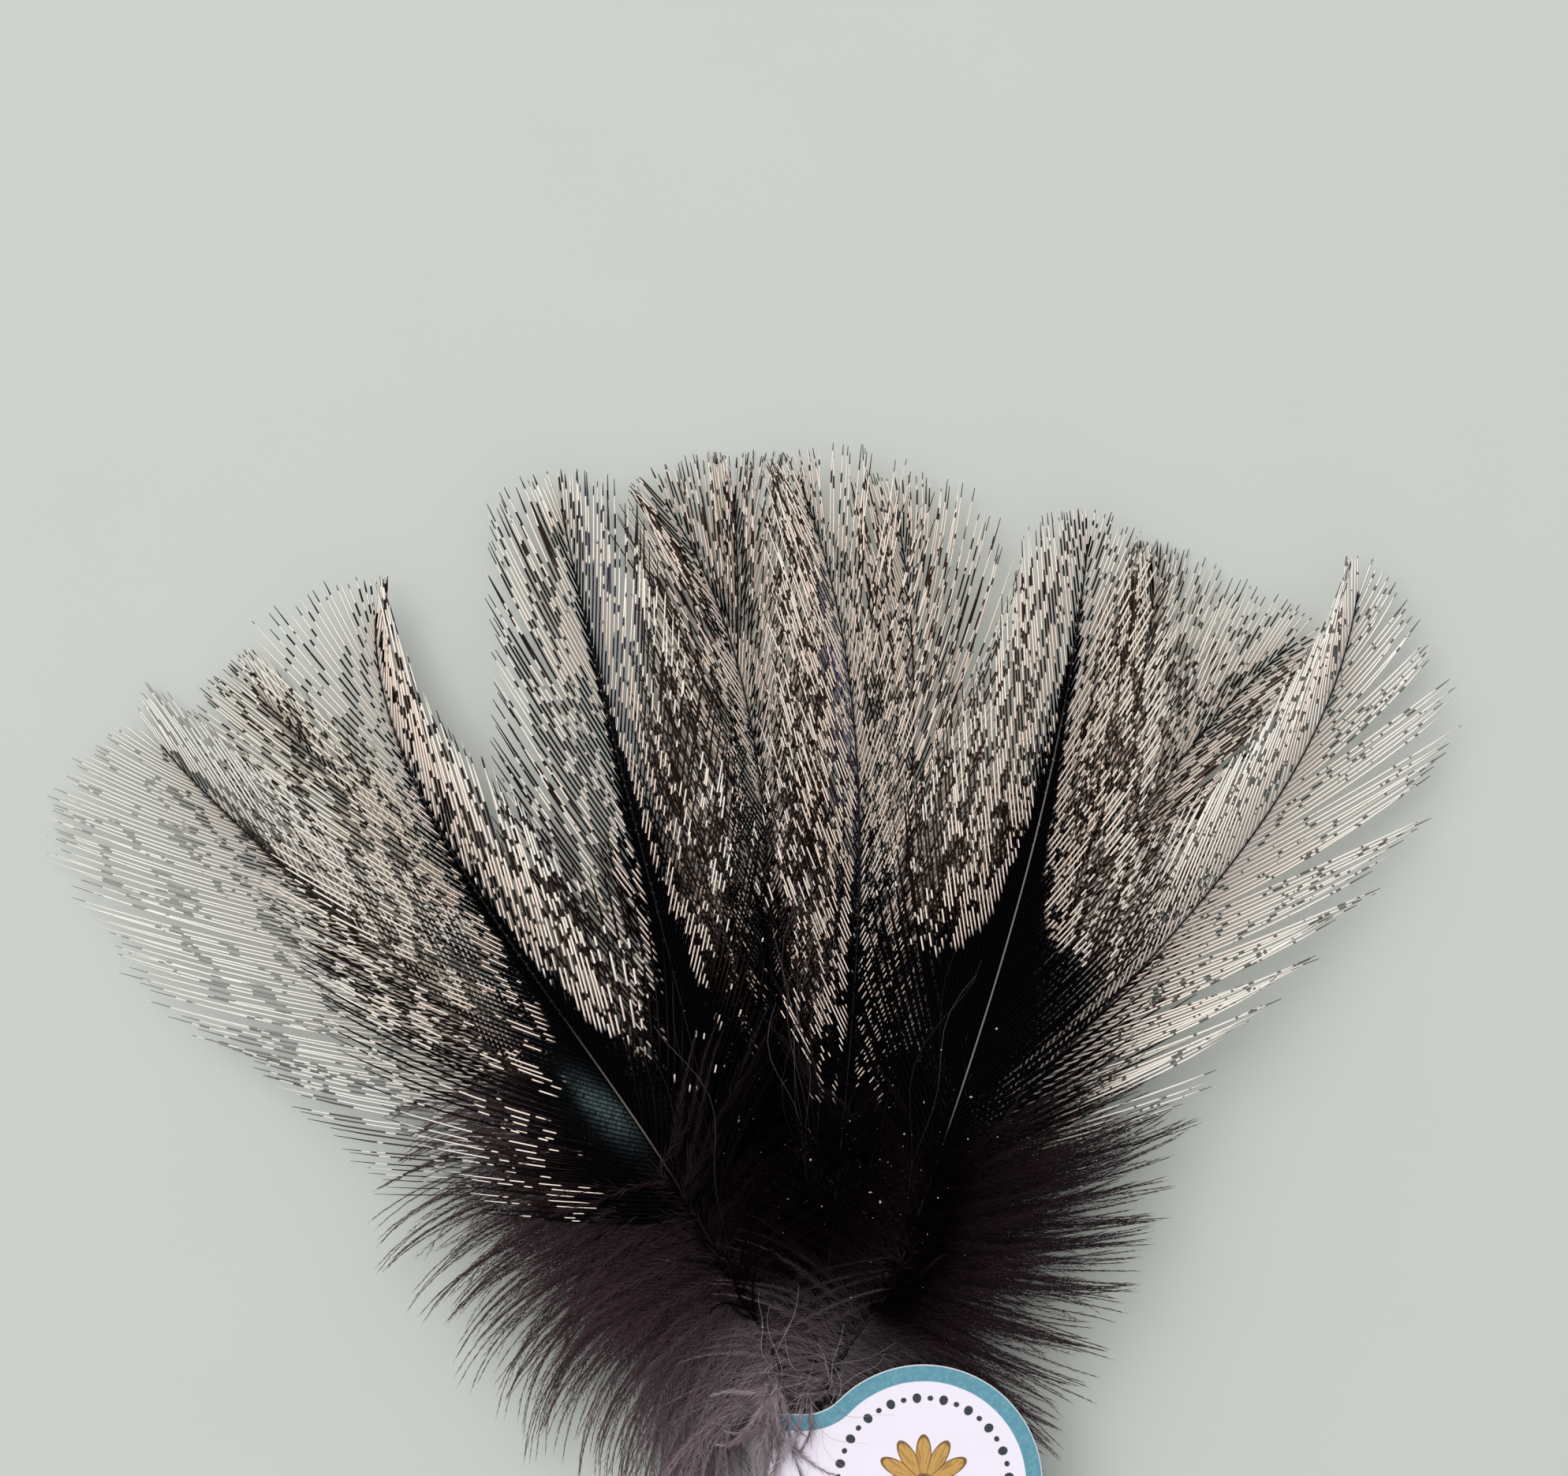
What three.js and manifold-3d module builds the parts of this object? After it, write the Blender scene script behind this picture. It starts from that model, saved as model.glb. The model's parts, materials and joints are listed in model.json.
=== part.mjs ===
// A fan of twelve speckled rooster feathers, bunched at their quills in the loop of a folded card label.
// The fan lies on its back: X runs across it, Y from the quills to the tips, Z up to the glossy side.
// Millimetres. The model is built round the middle of the bunch and moved to its own origin at the end.

import * as THREE from 'three';
import { mergeVertices } from 'three/addons/utils/BufferGeometryUtils.js';
import Module from 'manifold-3d';

// Quill and shaft
const QUILL_BELOW = 14;         // bare quill below the middle of the label
const QUILL_RADIUS = 0.5;
const QUILL_END_RADIUS = 0.2;
const QUILL_END_LENGTH = 1;
const SHOULDER = 0.1;           // width of the vane's flat foot beside the shaft
const HEADING_STEP = 0.5;       // a shaft's heading is taken over this much to either side
const DOWN_SHAFT_RADIUS = 0.36;
const SHAFT_RADIUS = 0.32;      // where the closed vane starts
const SHAFT_TIP_RADIUS = 0.12;
const COLUMN_PITCH = 1.6;       // the quills lie in four columns side by side
const EASE_START = 5.5;         // a shaft runs straight up to here, then eases out of the bunch
const EASE_END = 20;

// Down and vane
const DOWN_START = 10;
const VANE_START = 38;
const FULL_LENGTH = 0.45;       // share of the vane by which its barbs reach their full length
const TIP_MARGIN = 4.2;         // the barbs at the end of the shaft reach this far beyond it
const TIP_ROUNDING = 4;
const TIP_CLOSING = 6;          // over this much of its end, the barbs close up along the shaft
const TIP_CLOSED = 0.45;        // share of their angle that the last barbs keep
const DOWN_LENGTH = 24;
const DOWN_ANGLE = 96;
const ANGLE_FALL = 1.6;         // the higher, the sooner the barbs close up towards the tip
const DOWN_BEND = -0.3;
const VANE_BEND = 0.3;
const LOCK_NOTCH = 0.86;        // a barb between two locks, as a share of its neighbours
const BARB_ROWS = 19;
const VANE_THICKNESS = 0.4;
const VANE_TIP_THICKNESS = 0.2;

// How the feathers lie on each other
const BUNCH_FLOOR = 1.3;        // height of the lowest quill's axis
const BUNCH_PITCH = 0.85;       // from one feather to the next above it, at the bunch
const TIP_FLOOR = 0.14;
const TIP_PITCH = 0.5;
const ARCH = 3;                 // the feathers rise this far between the bunch and their tips
const LAY_START = 12;           // the arch and the settling run between these reaches from the bunch
const LAY_END = 104;

// Folded card label
const CARD = 0.35;
const LOOP_HALF_WIDTH = 3.8;
const LOOP_TOP = 12;
const LOOP_CORNER = 1.2;
const NECK_HALF_WIDTH = 7.3;
const DISC_RADIUS = 12.5;
const DISC_X = 12.5;
const LABEL_Y = -2.1;
const NECK_FILLET = 5;

// Each feather, from left to right: its column and layer in the bunch, the points that its shaft passes
// at one third and two thirds of its length, and its tip. Each side has the length of the barbs where the
// vane starts, their length further up, the angles at which they leave the shaft there and at the tip, and
// how fast they grow longer from the tip down.
const FEATHERS = [
  { column: 0, layer: 3, low: [-21.7, 31.7], high: [-47.1, 55.8], tip: [-68.2, 75.5],
    left: [40, 36, 46, 20, 0.95], right: [24, 22, 32, 14, 0.95] },
  { column: 1, layer: 2, low: [-16, 30.3], high: [-37.5, 57.3], tip: [-58, 81.2],
    left: [30, 29, 38, 14, 0.95], right: [24, 20, 32, 12, 0.95] },
  { column: 0, layer: 10, low: [-14.6, 31.2], high: [-35, 60.8], tip: [-45.3, 88.8],
    left: [38, 33, 42, 15, 0.95], right: [30, 23, 24, 17, 0.9] },
  { column: 0, layer: 7, low: [-9.5, 34.2], high: [-18.2, 68.5], tip: [-25.7, 100.4],
    left: [34, 30, 30, 14, 0.95], right: [28, 30, 34, 13, 0.9] },
  { column: 1, layer: 4, low: [-3.5, 35], high: [-4.5, 70], tip: [-14.7, 101.1],
    left: [30, 30, 42, 16, 0.9], right: [28, 30, 36, 13, 0.95] },
  { column: 1, layer: 0, low: [-7.5, 35], high: [-7.5, 70], tip: [-7.5, 102.1],
    left: [28, 30, 34, 12, 0.95], right: [28, 30, 34, 12, 0.95] },
  { column: 2, layer: 8, low: [4, 35], high: [5.7, 70], tip: [-0.3, 102.8],
    left: [28, 30, 34, 12, 0.95], right: [28, 30, 34, 12, 0.95] },
  { column: 2, layer: 5, low: [7, 34], high: [11.2, 69], tip: [9.8, 99.8],
    left: [28, 30, 34, 13, 0.95], right: [28, 30, 36, 14, 0.88] },
  { column: 3, layer: 11, low: [14.2, 32.5], high: [24.1, 65], tip: [29.9, 96.7],
    left: [34, 30, 34, 14, 0.88], right: [30, 30, 36, 14, 0.88] },
  { column: 2, layer: 1, low: [14, 31], high: [29.5, 63], tip: [37, 92.9],
    left: [28, 29, 36, 13, 0.9], right: [28, 29, 40, 14, 0.85] },
  { column: 3, layer: 6, low: [14, 32], high: [30.9, 62.1], tip: [51, 85.7],
    left: [28, 29, 36, 13, 0.9], right: [26, 26, 34, 13, 0.88] },
  { column: 3, layer: 9, low: [18.4, 33], high: [43, 60.5], tip: [58.5, 91.7],
    left: [24, 26, 28, 17, 0.9], right: [28, 30, 34, 20, 0.75] },
];

const FEATHER_LOOK = { color: 0x4a3f36, roughness: 0.45, metalness: 0 };
const LABEL_LOOK = { color: 0xece8f2, roughness: 0.6, metalness: 0 };

const { clamp, degToRad, lerp, smoothstep } = THREE.MathUtils;

// Plan of one feather

function shaftCurve(feather) {
  const tie = new THREE.Vector2((feather.column - 1.5) * COLUMN_PITCH, 0);
  const [low, high, tip] = [feather.low, feather.high, feather.tip].map((p) => new THREE.Vector2(...p));
  const through = (weights) => new THREE.Vector2(
    (weights[0] * tie.x + weights[1] * low.x + weights[2] * high.x + weights[3] * tip.x) / 6,
    (weights[0] * tie.y + weights[1] * low.y + weights[2] * high.y + weights[3] * tip.y) / 6,
  );
  return new THREE.CubicBezierCurve(tie, through([-5, 18, -9, 2]), through([2, -9, 18, -5]), tip);
}

function shaftPoint(feather, along) {
  const curve = feather.curve;
  if (along <= 0) return new THREE.Vector2(curve.v0.x, along);
  const point = curve.getPoint(along / feather.reach);
  const ease = smoothstep(along, EASE_START, EASE_END);
  point.x = lerp(curve.v0.x, point.x, ease);
  return point;
}

// Heading in degrees, clockwise from +Y.
function shaftHeading(feather, along) {
  const ahead = shaftPoint(feather, Math.min(along + HEADING_STEP, feather.reach));
  const behind = shaftPoint(feather, along - HEADING_STEP);
  return Math.atan2(ahead.x - behind.x, ahead.y - behind.y) * 180 / Math.PI;
}

function smoothMinimum(a, b, softness) {
  return (a + b - Math.hypot(a - b, softness)) / 2;
}

// Length, angle off the shaft and forward bend of the barb that grows at this place on the shaft.
function barbForm(feather, side, along) {
  const down = clamp((VANE_START - along) / (VANE_START - DOWN_START), 0, 1);
  const outward = clamp((along - VANE_START) / (feather.reach - VANE_START), 0, 1);
  const [baseLength, fullLength, baseAngle, tipAngle, tipSlope] = side === 0 ? feather.left : feather.right;
  const vaneAngle = lerp(tipAngle, baseAngle, (1 - outward) ** ANGLE_FALL);
  const longest = lerp(baseLength, fullLength, smoothstep(outward, 0, FULL_LENGTH));
  const closing = lerp(TIP_CLOSED, 1, smoothstep(feather.reach - along, 0, TIP_CLOSING));
  return {
    angle: lerp(vaneAngle, DOWN_ANGLE, down) * closing,
    bend: lerp(VANE_BEND, DOWN_BEND, down),
    length: smoothMinimum(
      lerp(longest, DOWN_LENGTH, down),
      tipSlope * (feather.reach - along) + TIP_MARGIN,
      TIP_ROUNDING,
    ),
  };
}

// side 0 is left of the shaft, side 1 right of it.
function barbPoint(feather, side, along, share) {
  const { angle, bend, length } = barbForm(feather, side, along);
  const turn = angle * (1 - bend * share / 2) * (side === 0 ? -1 : 1);
  const heading = degToRad(shaftHeading(feather, along) + turn);
  const root = shaftPoint(feather, along);
  const reach = length * share;
  return new THREE.Vector2(root.x + reach * Math.sin(heading), root.y + reach * Math.cos(heading));
}

// Heights

function shareOfLay(point) {
  return clamp((point.length() - LAY_START) / (LAY_END - LAY_START), 0, 1);
}

function layHeight(feather, point) {
  const share = shareOfLay(point);
  const bunch = BUNCH_FLOOR + feather.layer * BUNCH_PITCH;
  const tips = TIP_FLOOR + feather.layer * TIP_PITCH;
  return lerp(bunch, tips, share) + ARCH * Math.sin(Math.PI * share) ** 2;
}

function vaneHalfThickness(point) {
  return lerp(VANE_THICKNESS, VANE_TIP_THICKNESS, shareOfLay(point)) / 2;
}

function shaftRadius(feather, along) {
  if (along < VANE_START) {
    return lerp(DOWN_SHAFT_RADIUS, SHAFT_RADIUS, (along - DOWN_START) / (VANE_START - DOWN_START));
  }
  return lerp(SHAFT_RADIUS, SHAFT_TIP_RADIUS, (along - VANE_START) / (feather.reach - VANE_START));
}

// Rings across the feather, all with the same number of points

const BARB_SHARES = [1, 2 / 3, 1 / 3];
const RING_POINTS = 16;

function quillRing(feather, along, radius) {
  const centre = shaftPoint(feather, along);
  const height = layHeight(feather, centre);
  return Array.from({ length: RING_POINTS }, (_, index) => {
    const angle = Math.PI - index / RING_POINTS * 2 * Math.PI;
    const x = centre.x + radius * Math.cos(angle);
    return new THREE.Vector3(x, centre.y, height + radius * Math.sin(angle));
  });
}

function vaneRing(feather, along, lengthShare) {
  const lift = (point, offset) => new THREE.Vector3(point.x, point.y, layHeight(feather, point) + offset);
  const root = shaftPoint(feather, along);
  const radius = shaftRadius(feather, along);
  const left = BARB_SHARES.map((share) => barbPoint(feather, 0, along, share * lengthShare));
  const right = BARB_SHARES.map((share) => barbPoint(feather, 1, along, share * lengthShare)).reverse();
  const top = (point) => lift(point, vaneHalfThickness(point));
  const under = (point) => lift(point, -vaneHalfThickness(point));
  const shoulder = (side) => {
    const heading = degToRad(shaftHeading(feather, along));
    const reach = side * (radius + SHOULDER);
    return top(new THREE.Vector2(root.x + reach * Math.cos(heading), root.y - reach * Math.sin(heading)));
  };
  return [
    ...left.map(top), shoulder(-1), lift(root, radius), shoulder(1), ...right.map(top),
    ...right.map(under).reverse(), lift(root, -radius), ...left.map(under).reverse(),
  ];
}

function loft(rings) {
  const positions = rings.flat().flatMap((point) => point.toArray());
  const count = rings[0].length;
  const triangles = [];
  for (let ring = 0; ring + 1 < rings.length; ring += 1) {
    for (let index = 0; index < count; index += 1) {
      const here = ring * count + index;
      const next = ring * count + (index + 1) % count;
      triangles.push(here, next, next + count, here, next + count, here + count);
    }
  }
  const last = (rings.length - 1) * count;
  for (let index = 1; index + 1 < count; index += 1) {
    triangles.push(0, index + 1, index);
    triangles.push(last, last + index, last + index + 1);
  }
  const geometry = new THREE.BufferGeometry();
  geometry.setAttribute('position', new THREE.Float32BufferAttribute(positions, 3));
  geometry.setIndex(triangles);
  geometry.computeVertexNormals();
  return geometry;
}

function featherGeometry(feather) {
  const quill = [
    quillRing(feather, -QUILL_BELOW, QUILL_END_RADIUS),
    quillRing(feather, QUILL_END_LENGTH - QUILL_BELOW, QUILL_RADIUS),
    quillRing(feather, EASE_START, QUILL_RADIUS),
    quillRing(feather, DOWN_START - 1, DOWN_SHAFT_RADIUS),
  ];
  const span = feather.reach - TIP_MARGIN - DOWN_START;
  const vane = Array.from({ length: BARB_ROWS + 1 }, (_, row) => {
    const lengthShare = row % 2 === 0 ? 1 : LOCK_NOTCH;
    return vaneRing(feather, DOWN_START + span * row / BARB_ROWS, lengthShare);
  });
  return loft([...quill, ...vane]);
}

// Label: a loop round the quills, and two discs glued back to back beside it

function loopGeometry() {
  const rounded = (shape, halfWidth, bottom, top, corner) => {
    shape.moveTo(-halfWidth + corner, bottom);
    shape.lineTo(halfWidth - corner, bottom);
    shape.absarc(halfWidth - corner, bottom + corner, corner, -Math.PI / 2, 0, false);
    shape.absarc(halfWidth - corner, top - corner, corner, 0, Math.PI / 2, false);
    shape.absarc(-halfWidth + corner, top - corner, corner, Math.PI / 2, Math.PI, false);
    shape.absarc(-halfWidth + corner, bottom + corner, corner, Math.PI, Math.PI * 1.5, false);
    return shape;
  };
  const section = rounded(new THREE.Shape(), LOOP_HALF_WIDTH, 0, LOOP_TOP, LOOP_CORNER);
  section.holes.push(
    rounded(new THREE.Path(), LOOP_HALF_WIDTH - CARD, CARD, LOOP_TOP - CARD, LOOP_CORNER - CARD),
  );
  const depth = 2 * NECK_HALF_WIDTH;
  const geometry = new THREE.ExtrudeGeometry(section, { depth, bevelEnabled: false, curveSegments: 3 });
  geometry.rotateX(Math.PI / 2);
  geometry.translate(0, LABEL_Y + NECK_HALF_WIDTH, 0);
  return geometry;
}

function discGeometry() {
  const filletY = NECK_HALF_WIDTH + NECK_FILLET;
  const toFillet = DISC_RADIUS + NECK_FILLET;
  const filletX = DISC_X - Math.sqrt(toFillet ** 2 - filletY ** 2);
  const meeting = Math.atan2(filletY, filletX - DISC_X);
  const outline = new THREE.Shape();
  outline.moveTo(filletX, -NECK_HALF_WIDTH);
  outline.absarc(filletX, -filletY, NECK_FILLET, Math.PI / 2, Math.PI - meeting, true);
  outline.absarc(DISC_X, 0, DISC_RADIUS, -meeting, meeting, false);
  outline.absarc(filletX, filletY, NECK_FILLET, meeting - Math.PI, -Math.PI / 2, true);
  outline.lineTo(LOOP_CORNER - LOOP_HALF_WIDTH, NECK_HALF_WIDTH);
  outline.lineTo(LOOP_CORNER - LOOP_HALF_WIDTH, -NECK_HALF_WIDTH);
  const depth = 2 * CARD;
  const geometry = new THREE.ExtrudeGeometry(outline, { depth, bevelEnabled: false, curveSegments: 12 });
  geometry.translate(0, LABEL_Y, LOOP_TOP - depth);
  return geometry;
}

const wasm = await Module();
wasm.setup();

function toSolid(geometry) {
  const bare = geometry.clone();
  bare.deleteAttribute('normal');
  bare.deleteAttribute('uv');
  const merged = mergeVertices(bare, 1e-4);
  const mesh = new wasm.Mesh({
    numProp: 3,
    vertProperties: new Float32Array(merged.attributes.position.array),
    triVerts: new Uint32Array(merged.index.array),
  });
  return new wasm.Manifold(mesh);
}

function fromSolid(solid) {
  const mesh = solid.getMesh();
  const geometry = new THREE.BufferGeometry();
  geometry.setAttribute('position', new THREE.Float32BufferAttribute(mesh.vertProperties, 3));
  geometry.setIndex(new THREE.Uint32BufferAttribute(mesh.triVerts, 1));
  geometry.computeVertexNormals();
  return geometry;
}

function labelGeometry() {
  return fromSolid(toSolid(loopGeometry()).add(toSolid(discGeometry())));
}

// The bunch

function namedMesh(name, geometry, look) {
  const mesh = new THREE.Mesh(geometry, new THREE.MeshStandardMaterial(look));
  mesh.name = name;
  return mesh;
}

const bunch = new THREE.Group();
FEATHERS.forEach((feather, index) => {
  feather.curve = shaftCurve(feather);
  feather.reach = feather.curve.getLength();
  bunch.add(namedMesh(`feather_${index + 1}`, featherGeometry(feather), FEATHER_LOOK));
});
bunch.add(namedMesh('label', labelGeometry(), LABEL_LOOK));

// The origin goes to the middle of the underside of the whole bunch.
const box = new THREE.Box3().setFromObject(bunch);
const middle = box.getCenter(new THREE.Vector3());
bunch.position.set(-middle.x, -middle.y, -box.min.z);

export default bunch;
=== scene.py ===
import json
import math

import bpy
import numpy as np
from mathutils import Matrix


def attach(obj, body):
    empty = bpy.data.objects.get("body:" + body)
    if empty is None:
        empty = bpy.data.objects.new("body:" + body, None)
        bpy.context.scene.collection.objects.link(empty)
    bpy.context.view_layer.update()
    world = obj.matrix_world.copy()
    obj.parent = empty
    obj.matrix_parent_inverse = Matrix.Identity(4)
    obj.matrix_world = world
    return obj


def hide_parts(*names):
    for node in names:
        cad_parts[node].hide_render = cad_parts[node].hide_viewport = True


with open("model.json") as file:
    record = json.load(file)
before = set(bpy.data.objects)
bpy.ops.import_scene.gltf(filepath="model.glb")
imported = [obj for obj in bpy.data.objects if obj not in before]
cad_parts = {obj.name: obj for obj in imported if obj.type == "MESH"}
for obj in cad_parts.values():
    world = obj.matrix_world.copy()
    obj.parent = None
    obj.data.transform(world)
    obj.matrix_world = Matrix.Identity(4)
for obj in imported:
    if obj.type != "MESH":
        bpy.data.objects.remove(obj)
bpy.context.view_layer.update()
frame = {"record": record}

# Camera
# The bunch lies on its back and the camera looks straight down on it, framed as the photograph is.
# The photograph shows 12 pixels to the millimetre, and the middle of the tied quills near its lower edge.
MM = 0.001
IMAGE_WIDTH = 1988
IMAGE_HEIGHT = 1871
PIXELS_PER_MM = 12
TIE_PIXEL = (1020, 1850)
REST_BEFORE_TIE = 1.4  # the resting face's middle lies this far up the bunch from the tie
CAMERA_HEIGHT = 1200
SUBJECT_HEIGHT = 5
SENSOR = 36
CLIP_START = 0.01


def placed(name, data):
    made = bpy.data.objects.new(name, data)
    bpy.context.scene.collection.objects.link(made)
    return made


rest_face = frame["record"]["mounts"][0]["pos_m"]
tie = np.array([rest_face[0] / MM, rest_face[1] / MM - REST_BEFORE_TIE, 0])
camera = placed("camera", bpy.data.cameras.new("camera"))
camera.location = (
    (tie[0] + (IMAGE_WIDTH / 2 - TIE_PIXEL[0]) / PIXELS_PER_MM) * MM,
    (tie[1] + (TIE_PIXEL[1] - IMAGE_HEIGHT / 2) / PIXELS_PER_MM) * MM,
    CAMERA_HEIGHT * MM,
)
camera.data.sensor_width = SENSOR
camera.data.lens = SENSOR * (CAMERA_HEIGHT - SUBJECT_HEIGHT) / (IMAGE_WIDTH / PIXELS_PER_MM)
camera.data.clip_start = CLIP_START
bpy.context.scene.camera = camera
bpy.context.scene.view_settings.view_transform = "Standard"

# Floor and light
# A plain pale floor, coated in matt grey-green paint, under one large soft lamp up to the left and a pale
# sky all round. The floor only carries the bunch and isn't part of it.
FLOOR_SIZE = 3.0
FLOOR_COLOUR = (0.603, 0.623, 0.577, 1)
FLOOR_SHADE = (0.588, 0.608, 0.562, 1)
LAMP_PLACE = (-0.9, 0.9, 2.2)
LAMP_SIZE = 2.0
LAMP_POWER = 37
SKY_COLOUR = (0.96, 0.98, 1.0, 1)
SKY_STRENGTH = 0.615


def operator(operation):
    return lambda wire, other: wire.maths(operation, other)


class Wire:
    """An output of a material's node. Sums and products with it add Math nodes to the material."""

    __add__ = __radd__ = operator("ADD")
    __sub__ = operator("SUBTRACT")
    __mul__ = operator("MULTIPLY")
    __truediv__ = operator("DIVIDE")

    def __init__(self, finish, socket):
        self.finish = finish
        self.socket = socket

    def maths(self, operation, *others):
        return self.finish.maths(operation, self, *others)

    def __rsub__(self, other):
        return self.finish.maths("SUBTRACT", other, self)

    def __abs__(self):
        return self.maths("ABSOLUTE")

    def held(self):
        """The value held between 0 and 1."""
        return self.finish.maths("ADD", self, 0, clamp=True)

    def over(self, edge, width):
        """0 below the edge and 1 above it, with a soft step of this width."""
        return ((self - edge) / width + 0.5).held()


class Finish:
    """A material, with one method that adds any node to it."""

    def __init__(self, name):
        self.material = bpy.data.materials.new(name)
        self.material.use_nodes = True
        self.tree = self.material.node_tree
        self.shader = self.tree.nodes["Principled BSDF"]

    def node(self, kind, settings, sockets, output=0):
        made = self.tree.nodes.new("ShaderNode" + kind)
        for name, value in settings.items():
            setattr(made, name, value)
        for name, value in sockets.items():
            self.plug(made.inputs[name], value)
        return Wire(self, made.outputs[output])

    def maths(self, operation, *values, clamp=False):
        return self.node("Math", {"operation": operation, "use_clamp": clamp}, dict(enumerate(values)))

    def plug(self, socket, value):
        if isinstance(value, Wire):
            self.tree.links.new(value.socket, socket)
        else:
            socket.default_value = value

    def wear(self, sockets):
        """Sets or feeds the shader's own sockets, and gives the material."""
        for name, value in sockets.items():
            self.plug(self.shader.inputs[name], value)
        return self.material

    def value(self, name):
        """A number that the mesh holds at each of its points."""
        return self.node("Attribute", {"attribute_name": name}, {}, "Fac")

    def mix(self, share, low, high):
        return self.node("Mix", {"data_type": "RGBA"}, {0: share, 6: low, 7: high}, 2)

    def place(self):
        return self.node("TexCoord", {}, {}, "Object")

    def noise(self, place, scale, detail=2.0):
        return self.node("TexNoise", {}, {"Vector": place, "Scale": scale, "Detail": detail})

    def grain(self, x, y, z, detail):
        """Noise with grains of size one, over a place made of these three numbers."""
        return self.noise(self.node("CombineXYZ", {}, {0: x, 1: y, 2: z}), 1, detail)

    def bump(self, height, distance):
        self.wear({"Normal": self.node("Bump", {}, {"Height": height, "Distance": distance})})


def mesh_piece(name, points, faces, *finishes):
    """A mesh in the scene, from points in metres."""
    mesh = bpy.data.meshes.new(name)
    mesh.from_pydata(points, [], faces)
    for finish in finishes:
        mesh.materials.append(finish)
    return placed(name, mesh)


def floor_finish():
    paint = Finish("matt_paint")
    coat = paint.mix(paint.noise(paint.place(), 60), FLOOR_COLOUR, FLOOR_SHADE)
    return paint.wear({"Base Color": coat, "Roughness": 0.9})


half = FLOOR_SIZE / 2
floor_corners = [(-half, -half, 0), (half, -half, 0), (half, half, 0), (-half, half, 0)]
floor = mesh_piece("floor", floor_corners, [(0, 1, 2, 3)], floor_finish())

lamp = placed("lamp", bpy.data.lights.new("lamp", "AREA"))
lamp.data.size = LAMP_SIZE
lamp.data.energy = LAMP_POWER
lamp.location = LAMP_PLACE
x, y, z = LAMP_PLACE
lamp.rotation_euler = (math.acos(z / math.hypot(x, y, z)), 0, math.atan2(x, -y))

world = bpy.data.worlds.new("studio")
world.use_nodes = True
sky = world.node_tree.nodes["Background"].inputs
sky["Color"].default_value = SKY_COLOUR
sky["Strength"].default_value = SKY_STRENGTH
bpy.context.scene.world = world

# Feathers
# Twelve speckled feathers, each grown in one piece: a horn quill and shaft, a vane of stiff glossy barbs and
# loose down at the base. They are bunched by their quills, and each lies on the ones in the layers below it.
QUILL_BELOW = 14
QUILL_RADIUS = 0.5
COLUMN_PITCH = 1.6
EASE_START = 5.5
EASE_END = 20
HEADING_STEP = 0.5
DOWN_START = 10
VANE_START = 38
FULL_LENGTH = 0.45
TIP_MARGIN = 4.2
TIP_ROUNDING = 4
TIP_CLOSING = 6
TIP_CLOSED = 0.45
DOWN_LENGTH = 24
DOWN_ANGLE = 96
ANGLE_FALL = 1.6
DOWN_BEND = -0.3
VANE_BEND = 0.3
BUNCH_FLOOR = 1.3
BUNCH_PITCH = 0.85
TIP_FLOOR = 0.14
TIP_PITCH = 0.5
ARCH = 3
LAY_START = 12
LAY_END = 104

# Where each feather lies: its column and layer in the bunch, the points that its shaft passes at one third
# and two thirds of its length, and its tip. Each side has the length of the barbs where the vane starts,
# their length further up, the angles at which they leave the shaft at the start and at the tip, and how fast
# they grow longer from the tip down.
FEATHERS = [
    (0, 3, (-21.7, 31.7), (-47.1, 55.8), (-68.2, 75.5), (40, 36, 46, 20, 0.95), (24, 22, 32, 14, 0.95)),
    (1, 2, (-16, 30.3), (-37.5, 57.3), (-58, 81.2), (30, 29, 38, 14, 0.95), (24, 20, 32, 12, 0.95)),
    (0, 10, (-14.6, 31.2), (-35, 60.8), (-45.3, 88.8), (38, 33, 42, 15, 0.95), (30, 23, 24, 17, 0.9)),
    (0, 7, (-9.5, 34.2), (-18.2, 68.5), (-25.7, 100.4), (34, 30, 30, 14, 0.95), (28, 30, 34, 13, 0.9)),
    (1, 4, (-3.5, 35), (-4.5, 70), (-14.7, 101.1), (30, 30, 42, 16, 0.9), (28, 30, 36, 13, 0.95)),
    (1, 0, (-7.5, 35), (-7.5, 70), (-7.5, 102.1), (28, 30, 34, 12, 0.95), (28, 30, 34, 12, 0.95)),
    (2, 8, (4, 35), (5.7, 70), (-0.3, 102.8), (28, 30, 34, 12, 0.95), (28, 30, 34, 12, 0.95)),
    (2, 5, (7, 34), (11.2, 69), (9.8, 99.8), (28, 30, 34, 13, 0.95), (28, 30, 36, 14, 0.88)),
    (3, 11, (14.2, 32.5), (24.1, 65), (29.9, 96.7), (34, 30, 34, 14, 0.88), (30, 30, 36, 14, 0.88)),
    (2, 1, (14, 31), (29.5, 63), (37, 92.9), (28, 29, 36, 13, 0.9), (28, 29, 40, 14, 0.85)),
    (3, 6, (14, 32), (30.9, 62.1), (51, 85.7), (28, 29, 36, 13, 0.9), (26, 26, 34, 13, 0.88)),
    (3, 9, (18.4, 33), (43, 60.5), (58.5, 91.7), (24, 26, 28, 17, 0.9), (28, 30, 34, 20, 0.75)),
]


def lerp(low, high, share):
    return low + (high - low) * share


def ease(value, start, end):
    share = np.clip((value - start) / (end - start), 0, 1)
    return share * share * (3 - 2 * share)


def picker(number, side=None):
    """Looks up what a table holds for this side of a feather, or the feather, or as usual."""
    return lambda table: table.get((number, side), table.get(number, table["usual"]))


def unit(steps, least=0):
    """Steps of length one. The least length is for steps that may have none."""
    return steps / (np.linalg.norm(steps, axis=-1, keepdims=True) + least)


def way(heading):
    """Steps of length one, at these angles clockwise from the way that the bunch points."""
    return np.stack([np.sin(heading), np.cos(heading)], -1)


def beside(ahead):
    """Level steps to the right of these ones."""
    return np.stack([ahead[..., 1], -ahead[..., 0], np.zeros(ahead.shape[:-1])], -1)


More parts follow.
